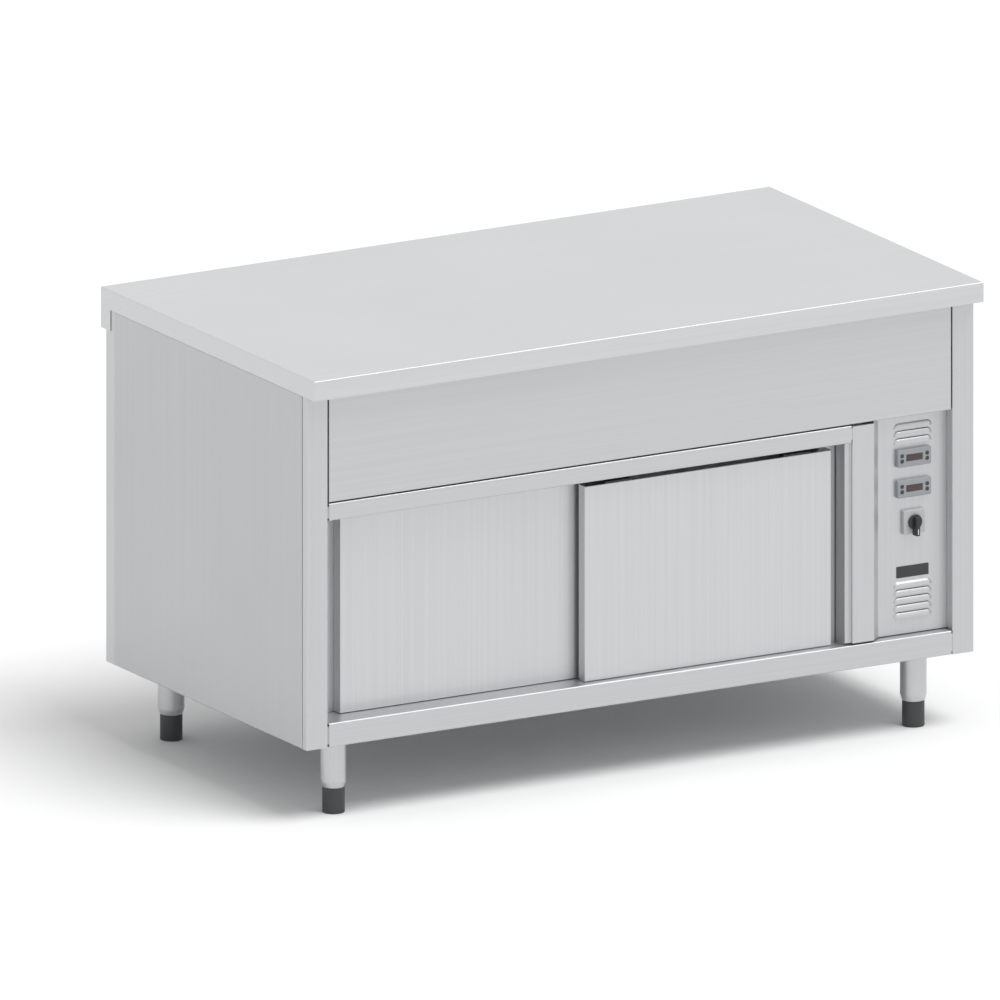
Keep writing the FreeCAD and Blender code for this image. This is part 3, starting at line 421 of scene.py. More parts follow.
@dataclass(frozen=True)
class MineralWool:
    """Matted yellow-brown fibres."""

    name: str = "mineral_wool"
    colour: Colour = (0.55, 0.47, 0.27)
    fibres: Noise = Noise((90.0, 620.0, 620.0), 6.0, 0.7)
    tufts: Noise = Noise(34.0, 4.0)
    fibre_share: float = 0.6
    tone_span: Span = (0.34, 0.66)
    shades: Span = (0.6, 1.25)
    roughness: float = 0.95
    sheen: float = 0.3
    relief: float = 0.9
    depth: float = 0.002

    def material(self) -> bpy.types.Material:
        """Writes the material.

        Returns:
            The material.
        """
        shader = Shader(self.name)
        matted = shader.mixed(shader.noise(self.fibres), shader.noise(self.tufts), self.fibre_share)
        tone = shader.remap(matted, self.tone_span, WHOLE)
        shader.surface_values(
            Base_Color=shader.shaded(tone, self.colour, self.shades),
            Roughness=self.roughness,
            Sheen_Weight=self.sheen,
        )
        shader.relief(matted, self.relief, self.depth)
        return shader.material


@dataclass(frozen=True)
class HeatingSheath:
    """Oxidised tube of a heating element, browner in patches."""

    name: str = "heating_sheath"
    cool: Colour = (0.16, 0.15, 0.15)
    tinted: Colour = (0.26, 0.19, 0.13)
    patches: Noise = Noise((9.0, 26.0, 26.0), 5.0, 0.6)
    patch_span: Span = (0.4, 0.62)
    metallic: float = 0.85
    polish: Span = (0.42, 0.60)
    relief: float = 0.2
    depth: float = 0.0002

    def material(self) -> bpy.types.Material:
        """Writes the material.

        Returns:
            The material.
        """
        shader = Shader(self.name)
        patches = shader.noise(self.patches)
        shader.surface_values(
            Base_Color=shader.blend(shader.remap(patches, self.patch_span, WHOLE), self.cool, self.tinted),
            Metallic=self.metallic,
            Roughness=shader.remap(patches, MOST, self.polish),
        )
        shader.relief(patches, self.relief, self.depth)
        return shader.material


@dataclass(frozen=True)
class ScrewThread:
    """Zinc-plated steel bar with a rolled thread, drawn as fine rings."""

    name: str = "threaded_bar"
    colour: Colour = (0.60, 0.60, 0.58)
    pitch: float = 0.002
    wear: Noise = Noise(120.0, 3.0)
    shades: Span = (0.8, 1.1)
    metallic: float = 1.0
    polish: Span = (0.26, 0.42)
    relief: float = 0.8
    depth: float = 0.0006

    def material(self) -> bpy.types.Material:
        """Writes the material.

        Returns:
            The material.
        """
        shader = Shader(self.name)
        rings = shader.node("TexWave", wave_type="BANDS", bands_direction="Z", wave_profile="SIN")
        shader.feed(rings, "Vector", shader.place(1.0))
        shader.feed(rings, "Scale", 1 / self.pitch / WAVES_AT_SCALE_ONE)
        worn = shader.noise(self.wear)
        shader.surface_values(
            Base_Color=shader.shaded(worn, self.colour, self.shades),
            Metallic=self.metallic,
            Roughness=shader.remap(worn, MOST, self.polish),
        )
        shader.relief(rings.outputs["Fac"], self.relief, self.depth)
        return shader.material


# Shapes


def chain(mesh: bmesh.types.BMesh, points: Iterable[Triple]) -> list[bmesh.types.BMEdge]:
    """Adds an open line through points to a mesh, and gives back its edges in order."""
    verts = [mesh.verts.new(point) for point in points]
    return [mesh.edges.new(pair) for pair in zip(verts, verts[1:])]


def turned(points: Iterable[Point], steps: int = ROUND_STEPS) -> bmesh.types.BMesh:
    """Turns a profile about the upright axis.

    Args:
        points: Radius and height of each corner of the profile.
        steps: Number of faces round the axis.

    Returns:
        The closed mesh.
    """
    mesh = bmesh.new()
    chain(mesh, [(radius, 0.0, height) for radius, height in points])
    bmesh.ops.spin(
        mesh,
        geom=[*mesh.verts, *mesh.edges],
        cent=(0, 0, 0),
        axis=(0, 0, 1),
        angle=TURN,
        steps=steps,
        use_merge=True,
        use_duplicate=False,
    )
    bmesh.ops.remove_doubles(mesh, verts=mesh.verts, dist=WELD)
    bmesh.ops.recalc_face_normals(mesh, faces=mesh.faces)
    return mesh


def block(low: Sequence[float], high: Sequence[float]) -> bmesh.types.BMesh:
    """Makes a box.

    Args:
        low: Its lowest corner.
        high: Its highest corner.

    Returns:
        The mesh.
    """
    mesh = bmesh.new()
    bmesh.ops.create_cube(mesh, size=1.0)
    size = Vector(high) - Vector(low)
    bmesh.ops.scale(mesh, vec=size, verts=mesh.verts)
    bmesh.ops.translate(mesh, vec=(Vector(high) + Vector(low)) / 2, verts=mesh.verts)
    return mesh


def bevelled(
    mesh: bmesh.types.BMesh,
    parts: Iterable[bmesh.types.BMEdge | bmesh.types.BMVert],
    size: float,
    steps: int = 3,
    affect: str = "EDGES",
) -> None:
    """Rounds edges of a mesh, or corners of a wire.

    Args:
        mesh: The mesh.
        parts: The edges or corners to round.
        size: Width of the rounding.
        steps: Number of its faces.
        affect: What is rounded, EDGES or VERTICES.
    """
    bmesh.ops.bevel(
        mesh,
        geom=list(parts),
        offset=size,
        offset_type="OFFSET",
        segments=steps,
        profile=0.5,
        affect=affect,
        material=-1,
        clamp_overlap=True,
    )


def joined(meshes: Iterable[bmesh.types.BMesh]) -> bmesh.types.BMesh:
    """Puts several meshes into the first.

    Args:
        meshes: The meshes; all but the first are freed.

    Returns:
        The first mesh.
    """
    first, *others = meshes
    for other in others:
        carrier = bpy.data.meshes.new("carrier")
        other.to_mesh(carrier)
        other.free()
        first.from_mesh(carrier)
        bpy.data.meshes.remove(carrier)
    return first


def moved(mesh: bmesh.types.BMesh, matrix: Matrix) -> bmesh.types.BMesh:
    """Moves a mesh, and gives it back."""
    bmesh.ops.transform(mesh, matrix=matrix, verts=mesh.verts)
    return mesh


def pushed(mesh: bmesh.types.BMesh, parts: Iterable[object], way: Triple) -> list[bmesh.types.BMVert]:
    """Moves those corners of a mesh that are among the parts an operator made.

    Args:
        mesh: The mesh.
        parts: What the operator made.
        way: How far they move.

    Returns:
        The moved corners.
    """
    verts = [part for part in parts if isinstance(part, bmesh.types.BMVert)]
    bmesh.ops.translate(mesh, vec=way, verts=verts)
    return verts


def corners_of(parts: Iterable[bmesh.types.BMFace | bmesh.types.BMEdge]) -> list[bmesh.types.BMVert]:
    """Corners of faces or edges, each one once."""
    return list(dict.fromkeys(vert for part in parts for vert in part.verts))


def sunk_field(mesh: bmesh.types.BMesh, faces: list[bmesh.types.BMFace], margin: float, depth: float) -> None:
    """Sinks faces of the front by a depth, with a slope as wide as the margin round them."""
    bmesh.ops.inset_region(mesh, faces=faces, thickness=margin, depth=0.0, use_even_offset=True)
    pushed(mesh, corners_of(faces), (0.0, depth, 0.0))


def split_round(mesh: bmesh.types.BMesh, areas: Iterable[Area]) -> None:
    """Splits every face along the sides of rectangles seen from the front.

    Args:
        mesh: The mesh.
        areas: Width and height of each rectangle.
    """
    for axis in (0, 1):
        normal = Vector((1 - axis, 0, axis))
        for place in sorted({round(end, 7) for area in areas for end in area[axis]}):
            whole = [*mesh.verts, *mesh.edges, *mesh.faces]
            bmesh.ops.bisect_plane(mesh, geom=whole, dist=WELD, plane_co=normal * place, plane_no=normal)


def sharp_edges(mesh: bmesh.types.BMesh, limit: float = SHARP_ANGLE) -> list[bmesh.types.BMEdge]:
    """Edges whose faces meet at more than an angle."""
    return [edge for edge in mesh.edges if len(edge.link_faces) == 2 and edge.calc_face_angle() > limit]


def runs_inwards(edge: bmesh.types.BMEdge) -> bool:
    """Says whether an edge runs from front to back."""
    return abs(edge.verts[0].co.y - edge.verts[1].co.y) > WELD


def lies_at(part: bmesh.types.BMFace | bmesh.types.BMEdge, depth: float) -> bool:
    """Says whether every corner of a face or an edge is at a depth."""
    return all(abs(vert.co.y - depth) < WELD for vert in part.verts)


def within(point: Vector, area: Area) -> bool:
    """Says whether a point lies behind a rectangle seen from the front."""
    (left, right), (bottom, top) = area
    return left < point.x < right and bottom < point.z < top


def around(middle: Vector, width: float, height: float) -> Area:
    """Rectangle about a point, seen from the front."""
    return (middle.x - width / 2, middle.x + width / 2), (middle.z - height / 2, middle.z + height / 2)


def node_middle(node: str) -> Vector:
    """Middle of a CAD node's box."""
    low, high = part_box(node)
    return (low + high) / 2


def finished(
    mesh: bmesh.types.BMesh,
    name: str,
    materials: Sequence[bpy.types.Material],
    body: str,
    nodes: Sequence[str] = (),
) -> bpy.types.Object:
    """Turns a mesh into a piece of the cupboard.

    Args:
        mesh: The mesh, which is freed.
        name: Name of the piece.
        materials: Its materials, by the faces' material number.
        body: CAD body that it rides on.
        nodes: CAD nodes that it stands for.

    Returns:
        The new object.
    """
    for face in mesh.faces:
        face.smooth = True
    for edge in mesh.edges:
        edge.smooth = len(edge.link_faces) == 2 and edge.calc_face_angle() < SHARP_ANGLE
    data = bpy.data.meshes.new(name)
    mesh.to_mesh(data)
    mesh.free()
    for material in materials:
        data.materials.append(material)
    piece = bpy.data.objects.new(name, data)
    bpy.context.scene.collection.objects.link(piece)
    if nodes:
        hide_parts(*nodes)
    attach(piece, body)
    log.info("%s: %d faces on %s", name, len(data.polygons), body)
    return piece


# Pieces with their own shapes


@dataclass(frozen=True)
class RoundLegs:
    """Four round legs with tapered ends, and the feet that screw into them."""

    tube_material: bpy.types.Material
    foot_material: bpy.types.Material
    thread_material: bpy.types.Material
    feet: tuple[str, ...] = ("front_left_foot", "front_right_foot", "rear_left_foot", "rear_right_foot")
    radius: float = 0.026
    end_radius: float = 0.0225
    taper: float = 0.011
    seam: float = 0.0005
    bore: float = 0.0083
    bore_depth: float = 0.074
    stud_radius: float = 0.006
    spindle_radius: float = 0.008
    fit_gap: float = 0.0003
    rounding: float = 0.0011
    rounding_steps: int = 4

    def levels(self) -> tuple[float, float, float]:
        """Lower end of the legs, underside of the cupboard, and top of the studs."""
        low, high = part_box("leg_tubes")
        return low.z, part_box("base_panel")[0].z, high.z

    def leg(self, place: Vector) -> bmesh.types.BMesh:
        """Shapes one leg.

        Args:
            place: A point on its axis.

        Returns:
            The mesh.
        """
        end, top, stud_top = self.levels()
        shoulder = end + self.taper
        profile = [
            (0.0, end + self.bore_depth),
            (self.bore, end + self.bore_depth),
            (self.bore, end),
            (self.end_radius, end),
            (self.radius - self.seam, shoulder - self.seam),
            (self.radius - self.seam, shoulder),
            (self.radius, shoulder + self.seam),
            (self.radius, top),
            (self.stud_radius, top),
            (self.stud_radius, stud_top),
            (0.0, stud_top),
        ]
        mesh = turned(profile)
        rim = [edge for edge in sharp_edges(mesh) if edge.verts[0].co.z < end + self.seam]
        bevelled(mesh, rim, self.seam)
        return moved(mesh, Matrix.Translation((place.x, place.y, 0.0)))

    def foot(self, name: str) -> bpy.types.Object:
        """Shapes one foot with its spindle.

        Args:
            name: Its CAD node.

        Returns:
            The piece.
        """
        low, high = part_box(name)
        middle = node_middle(name)
        radius = (high.x - low.x) / 2
        top = self.levels()[0] - self.fit_gap
        profile = [
            (0.0, low.z),
            (radius, low.z),
            (radius, top),
            (self.spindle_radius, top),
            (self.spindle_radius, high.z),
            (0.0, high.z),
        ]
        mesh = turned(profile)
        bevelled(mesh, sharp_edges(mesh), self.rounding, self.rounding_steps)
        for face in mesh.faces:
            place = face.calc_center_median()
            on_spindle = place.z > top - self.fit_gap and math.hypot(place.x, place.y) < self.bore
            face.material_index = int(on_spindle)
        moved(mesh, Matrix.Translation((middle.x, middle.y, 0.0)))
        materials = (self.foot_material, self.thread_material)
        return finished(mesh, name + "_smooth", materials, name, [name])

    def build(self) -> None:
        """Makes the legs and the feet."""
        legs = joined([self.leg(node_middle(name)) for name in self.feet])
        finished(legs, "round_legs", [self.tube_material], "cabinet", ["leg_tubes"])
        for name in self.feet:
            self.foot(name)


@dataclass(frozen=True)
class FrontPlate:
    """Block with a face towards the user, rounded corners and softened edges."""

    corner: float
    edge: float
    depth: float
    corner_steps: int = 5
    edge_steps: int = 3

    def shaped(self, low: Vector, high: Vector, areas: Sequence[Area] = ()) -> bmesh.types.BMesh:
        """Shapes the block.

        Args:
            low: Its lowest corner.
            high: Its highest corner; the block ends the plate's depth behind its front.
            areas: Rectangles whose sides split its faces.

        Returns:
            The mesh.
        """
        mesh = block(low, (high.x, low.y + self.depth, high.z))
        split_round(mesh, areas)
        corners = [edge for edge in sharp_edges(mesh) if runs_inwards(edge)]
        bevelled(mesh, corners, self.corner, self.corner_steps)
        rim = [edge for edge in sharp_edges(mesh, RIM_ANGLE) if lies_at(edge, low.y)]
        bevelled(mesh, rim, self.edge, self.edge_steps)
        return mesh

    def case(self, low: Vector, high: Vector, width: float, height: float) -> bmesh.types.BMesh:
        """Makes the case behind the block.

        Args:
            low: Lowest corner of the block.
            high: Its highest corner, at whose depth the case ends.
            width: Width of the case.
            height: Its height.

        Returns:
            The mesh.
        """
        middle = (low + high) / 2
        half = Vector((width / 2, 0.0, height / 2))
        start = Vector((middle.x, low.y + self.depth, middle.z))
        return block(start - half, Vector((middle.x, high.y, middle.z)) + half)


@dataclass(frozen=True)
class Thermostats:
    """The two digital thermostats: bezel, tinted window and four buttons each."""

    bezel_material: bpy.types.Material
    window_material: bpy.types.Material
    button_material: bpy.types.Material
    rows: tuple[str, ...] = ("upper", "lower")
    places: tuple[str, ...] = ("left_top", "left_low", "right_top", "right_low")
    plate: FrontPlate = FrontPlate(corner=0.0026, edge=0.0014, depth=0.009)
    cap: FrontPlate = FrontPlate(corner=0.0026, edge=0.0007, depth=0.004)
    window_width: float = 0.038
    window_height: float = 0.015
    window_frame: float = 0.0009
    window_depth: float = 0.0011
    pane_gap: float = 0.0004
    pane_edge: float = 0.00015
    pane_steps: int = 2
    pocket_play: float = 0.0001
    pocket_depth: float = 0.0038
    pocket_steps: int = 11
    dish: float = 0.0002
    dish_margin: float = 0.0010
    case_width: float = 0.071
    case_height: float = 0.0288

    def pocket(self, node: str) -> Area:
        """Finds the pocket round a button.

        Args:
            node: The button's CAD node.

        Returns:
            Its width and height.
        """
        low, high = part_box(node)
        size = self.pocket_play * 2 + high.x - low.x
        return around((low + high) / 2, size, size)

    def thermostat(self, row: str) -> None:
        """Makes the front and the case of one thermostat, and its window.

        Args:
            row: Which thermostat.
        """
        node = f"{row}_thermostat"
        low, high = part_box(node)
        pockets = [self.pocket(f"{row}_{place}_button") for place in self.places]
        window = around((low + high) / 2, self.window_width, self.window_height)
        mesh = self.plate.shaped(low, high, [*pockets, window])
        for pocket in pockets:
            self.sink(mesh, low.y, pocket)
        sunk_field(mesh, self.front_faces(mesh, low.y, window), self.window_frame, self.window_depth)
        case = self.plate.case(low, high, self.case_width, self.case_height)
        whole = joined([mesh, case])
        finished(whole, node + "_front", [self.bezel_material], "cabinet", [node])
        self.pane(node, low.y, window)

    def pane(self, node: str, front: float, area: Area) -> None:
        """Makes the tinted pane of a window.

        Args:
            node: The thermostat's CAD node.
            front: Depth of its front.
            area: The window.
        """
        (left, right), (bottom, top) = area
        margin = self.window_frame
        low = (left + margin, front + self.pane_gap, bottom + margin)
        pane = block(low, (right - margin, front + self.window_depth, top - margin))
        bevelled(pane, sharp_edges(pane), self.pane_edge, self.pane_steps)
        finished(pane, node + "_window", [self.window_material], "cabinet")

    @staticmethod
    def front_faces(mesh: bmesh.types.BMesh, front: float, area: Area) -> list[bmesh.types.BMFace]:
        """Faces of the front within a rectangle."""
        faces = [face for face in mesh.faces if lies_at(face, front)]
        return [face for face in faces if within(face.calc_center_median(), area)]

    def sink(self, mesh: bmesh.types.BMesh, front: float, area: Area) -> None:
        """Sinks one pocket with round corners into the front.

        Args:
            mesh: The front.
            front: Its depth.
            area: The pocket.
        """
        faces = self.front_faces(mesh, front, area)
        mouth = bmesh.ops.dissolve_faces(mesh, faces=faces, use_verts=False)["region"][0]
        bmesh.ops.bisect_edges(mesh, edges=list(mouth.edges), cuts=self.pocket_steps)
        (left, right), (bottom, top) = area
        centre = Vector(((left + right) / 2, front, (bottom + top) / 2))
        core = (right - left) / 2 - self.cap.corner
        for vert in mouth.verts:
            offset = vert.co - centre
            near = Vector((max(-core, min(core, offset.x)), 0.0, max(-core, min(core, offset.z))))
            past = offset - near
            if abs(past.x) > WELD and abs(past.z) > WELD:
                vert.co = centre + near + past.normalized() * self.cap.corner
        made = bmesh.ops.extrude_face_region(mesh, geom=[mouth])["geom"]
        pushed(mesh, made, (0.0, self.pocket_depth, 0.0))
        bmesh.ops.delete(mesh, geom=[mouth], context="FACES")

    def button(self, node: str) -> None:
        """Makes one button with a slightly dished cap.

        Args:
            node: Its CAD node.
        """
        low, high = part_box(node)
        mesh = self.cap.shaped(low, high)
        sunk_field(mesh, [face for face in mesh.faces if lies_at(face, low.y)], self.dish_margin, self.dish)
        finished(mesh, node + "_cap", [self.button_material], node, [node])

    def build(self) -> None:
        """Makes both thermostats."""
        for row in self.rows:
            self.thermostat(row)
            for place in self.places:
                self.button(f"{row}_{place}_button")


@dataclass(frozen=True)
class MainSwitch:
    """Square rotary main switch with its knob, and the bare plate under it."""

    plate_material: bpy.types.Material
    knob_material: bpy.types.Material
    pointer_material: bpy.types.Material
    lacquer: bpy.types.Material
    plate: FrontPlate = FrontPlate(corner=0.0030, edge=0.0016, depth=0.0085)
    bare: FrontPlate = FrontPlate(corner=0.0012, edge=0.0003, depth=0.001)
    case_width: float = 0.044
    shaft_radius: float = 0.004
    shaft_length: float = 0.007
    shaft_steps: int = 40
    ring: Span = (0.0157, 0.0172)
    ring_height: float = 0.0002
    base_radius: float = 0.015
    base_depth: float = 0.005
    bar_width: float = 0.011
    bar_up: float = 0.012
    bar_gap: float = 0.0006
    bar_taper: float = 0.74
    rounding: float = 0.0016
    rounding_steps: int = 4
    pointer_width: float = 0.0016
    pointer_length: float = 0.011
    pointer_proud: float = 0.00015
    bore_play: float = 0.0001

    def axis(self) -> Vector:
        """Foremost point on the axis of the switch."""
        middle = node_middle("switch_body")
        return Vector((middle.x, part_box("switch_body")[0].y, middle.z))

    def body(self) -> None:
        """Makes the plate with a fine ring round the knob, the shaft and the case behind."""
        low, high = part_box("switch_body")
        axis = self.axis()
        radius, top = self.shaft_radius, self.shaft_length
        front = low.y + top
        place = Matrix.Translation((axis.x, front, axis.z)) @ FORWARDS
        shaft = turned([(0.0, 0.0), (radius, 0.0), (radius, top), (0.0, top)], self.shaft_steps)
        inner, outer = self.ring
        ring = turned([(inner, 0.0), ((inner + outer) / 2, self.ring_height), (outer, 0.0), (inner, 0.0)])
        corner = Vector((low.x, front, low.z))
        case = self.plate.case(corner, high, self.case_width, self.case_width)
        whole = joined([self.plate.shaped(corner, high), moved(shaft, place), case, moved(ring, place)])
        finished(whole, "switch_front", [self.plate_material], "cabinet", ["switch_body"])

    def grip(self, low: Vector, back: float) -> bmesh.types.BMesh:
        """Shapes the bar of the knob, which tapers towards the user.

        Args:
            low: Lowest corner of the knob.
            back: Depth at which the bar ends.

        Returns:
            The mesh.
        """
        axis = self.axis()
        half = self.bar_width / 2
        bar = block((axis.x - half, low.y, low.z), (axis.x + half, back, axis.z + self.bar_up))
        for vert in bar.verts:
            if vert.co.y < low.y + WELD:
                vert.co.x = axis.x + (vert.co.x - axis.x) * self.bar_taper
        bevelled(bar, sharp_edges(bar), self.rounding, self.rounding_steps)
        return bar

    def knob(self) -> None:
        """Makes the knob: a round base with a tapered grip and a pointer line."""
        low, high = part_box("switch_knob")
        axis = self.axis()
        bore = self.shaft_radius + self.bore_play
        radius, depth = self.base_radius, self.base_depth
        base = turned([(bore, 0.0), (radius, 0.0), (radius, depth), (bore, depth), (bore, 0.0)])
        rim = [edge for edge in sharp_edges(base) if math.hypot(*edge.verts[0].co.xy) > radius - WELD]
        bevelled(base, rim, self.rounding, self.rounding_steps)
        moved(base, Matrix.Translation((axis.x, high.y, axis.z)) @ FORWARDS)
        bar = self.grip(low + Vector((0.0, self.pointer_proud, 0.0)), high.y - self.bar_gap)
        whole = joined([base, bar])
        finished(whole, "switch_grip", [self.knob_material], "switch_knob", ["switch_knob"])
        width = Vector((self.pointer_width / 2, 0.0, 0.0))
        start = Vector((axis.x, low.y, low.z + self.rounding * 2))
        end = Vector((axis.x, low.y + self.bar_gap, start.z + self.pointer_length))
        pointer = block(start - width, end + width)
        finished(pointer, "switch_pointer", [self.pointer_material], "switch_knob")

    def bare_plate(self) -> None:
        """Makes the bare black plate."""
        mesh = self.bare.shaped(*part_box("blank_plate"))
        finished(mesh, "bare_plate", [self.lacquer], "cabinet", ["blank_plate"])

    def build(self) -> None:
        """Makes the switch and the plate."""
        self.body()
        self.knob()
        self.bare_plate()


@dataclass(frozen=True)
class ControlPanel:
    """Recessed panel with a slanted wing at its left, openings for the controls, and pressed louvres."""

    material: bpy.types.Material
    thermostats: Thermostats
    switch: MainSwitch
    node: str = "control_panel"
    sheet: float = 0.0015
    wing_width: float = 0.0182
    fold: float = 0.0015
    fold_steps: int = 5
    play: float = 0.0002
    louvre_width: float = 0.084
    louvre_height: float = 0.0105
    louvre_depth: float = 0.005
    louvre_wall: float = 0.0009
    louvre_shoulder: float = 0.0100
    louvre_edge: float = 0.0008
    rings: int = 9
    corner_steps: int = 10

    def face(self) -> float:
        """Depth of the panel's front."""
        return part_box(self.node)[1].y - self.sheet

    def corners(self) -> list[Vector]:
        """Corners of the CAD panel."""
        return [vert.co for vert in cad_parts[self.node].data.vertices]

    def wing_tip(self) -> Vector:
        """Foremost corner of the CAD panel's wing."""
        return min(self.corners(), key=lambda corner: corner.y)

    def louvre_levels(self) -> list[float]:
        """Heights of the louvres' lower edges, read off the CAD panel."""
        lip = self.face() - self.louvre_depth
        return sorted({round(corner.z, 5) for corner in self.corners() if abs(corner.y - lip) < WELD * 10})

    def openings(self) -> list[Area]:
        """Lists the openings of the panel, and the part that is cut off above its wing.

        Returns:
            Width and height of each.
        """
        middle = node_middle("blank_plate")
        narrow = self.louvre_width - self.louvre_shoulder * 2
        areas = []
        for level in self.louvre_levels():
            centre = Vector((middle.x, 0.0, level + self.louvre_height / 2 - self.louvre_edge))
            areas.append(around(centre, narrow, self.louvre_height - self.louvre_edge * 2))
        for row in self.thermostats.rows:
            width = self.thermostats.case_width + self.play
            height = self.thermostats.case_height + self.play
            areas.append(around(node_middle(f"{row}_thermostat"), width, height))
        side = self.switch.case_width + self.play
        areas.append(around(node_middle("switch_body"), side, side))
        low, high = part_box(self.node)
        over_rail = (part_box("door_head_rail")[1].z, high.z)
        areas.append(((low.x - self.play, self.wing_tip().x + self.wing_width + self.fold), over_rail))
        return areas

    def plate(self) -> bmesh.types.BMesh:
        """Folds the sheet and cuts its openings.

        Returns:
            The mesh.
        """
        low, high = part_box(self.node)
        tip = self.wing_tip()
        path = [(tip.x, tip.y), (tip.x + self.wing_width, self.face()), (high.x, self.face())]
        mesh = bmesh.new()
        wing, _ = chain(mesh, [(x, y, low.z) for x, y in path])
        bevelled(mesh, [wing.verts[1]], self.fold, self.fold_steps, affect="VERTICES")
        made = bmesh.ops.extrude_edge_only(mesh, edges=mesh.edges)["geom"]
        pushed(mesh, made, (0.0, 0.0, high.z - low.z))
        openings = self.openings()
        split_round(mesh, openings)
        middles = [(face, face.calc_center_median()) for face in mesh.faces]
        cut = [face for face, middle in middles if any(within(middle, area) for area in openings)]
        bmesh.ops.delete(mesh, geom=cut, context="FACES")
        self.thicken(mesh, self.sheet)
        return mesh

    @staticmethod
    def thicken(mesh: bmesh.types.BMesh, wall: float) -> None:
        """Gives an open sheet its wall, towards the rear.

        Args:
            mesh: The sheet.
            wall: Its thickness.
        """
        bmesh.ops.recalc_face_normals(mesh, faces=mesh.faces)
        if sum(face.normal.y for face in mesh.faces) > 0:
            bmesh.ops.reverse_faces(mesh, faces=mesh.faces)
        bmesh.ops.solidify(mesh, geom=list(mesh.faces), thickness=wall)

    def louvre(self, middle: float, level: float) -> bmesh.types.BMesh:
        """Shapes one louvre: it swells from its rounded outline towards a straight lower lip.

        Args:
            middle: Its middle across.
            level: Height of its lower edge.

        Returns:
            The mesh.
        """
        mesh = bmesh.new()
        lines = [self.louvre_line(mesh, middle, level, -self.louvre_edge, -self.play)]
        for ring in range(1, self.rings + 1):
            turn = math.pi / 2 * ring / self.rings
            inset = self.louvre_height * (1 - math.cos(turn))
            lines.append(self.louvre_line(mesh, middle, level, inset, self.louvre_depth * math.sin(turn)))
        for first, second in zip(lines, lines[1:]):
            bmesh.ops.bridge_loops(mesh, edges=first + second)
        bmesh.ops.remove_doubles(mesh, verts=mesh.verts, dist=WELD)
        self.thicken(mesh, self.louvre_wall)
        return mesh

    def louvre_line(
        self, mesh: bmesh.types.BMesh, middle: float, level: float, inset: float, proud: float
    ) -> list[bmesh.types.BMEdge]:
        """Adds one line of a louvre, which runs up its left end, along its top and down its right end.

        Args:
            mesh: The louvre.
            middle: Its middle across.
            level: Height of its lower edge.
            inset: Distance of the line from the louvre's outline.
            proud: How far the line stands out.

        Returns:
            The new edges.
        """
        half = self.louvre_width / 2 - inset
        height = self.louvre_height - inset
        shoulder = self.louvre_shoulder * height / self.louvre_height
        corner = []
        for step in range(self.corner_steps + 1):
            turn = math.pi / 2 * step / self.corner_steps
            corner.append((shoulder * (1 - math.cos(turn)) - half, level + height * math.sin(turn)))
        outline = corner + [(-x, z) for x, z in reversed(corner)]
        depth = self.face() - proud
        return chain(mesh, [(middle + x, depth, z) for x, z in outline])

    def build(self) -> None:
        """Makes the panel with its louvres."""
        middle = node_middle("blank_plate").x
        louvres = [self.louvre(middle, level) for level in self.louvre_levels()]
        whole = joined([self.plate(), *louvres])
        finished(whole, "louvred_panel", [self.material], "cabinet", [self.node])


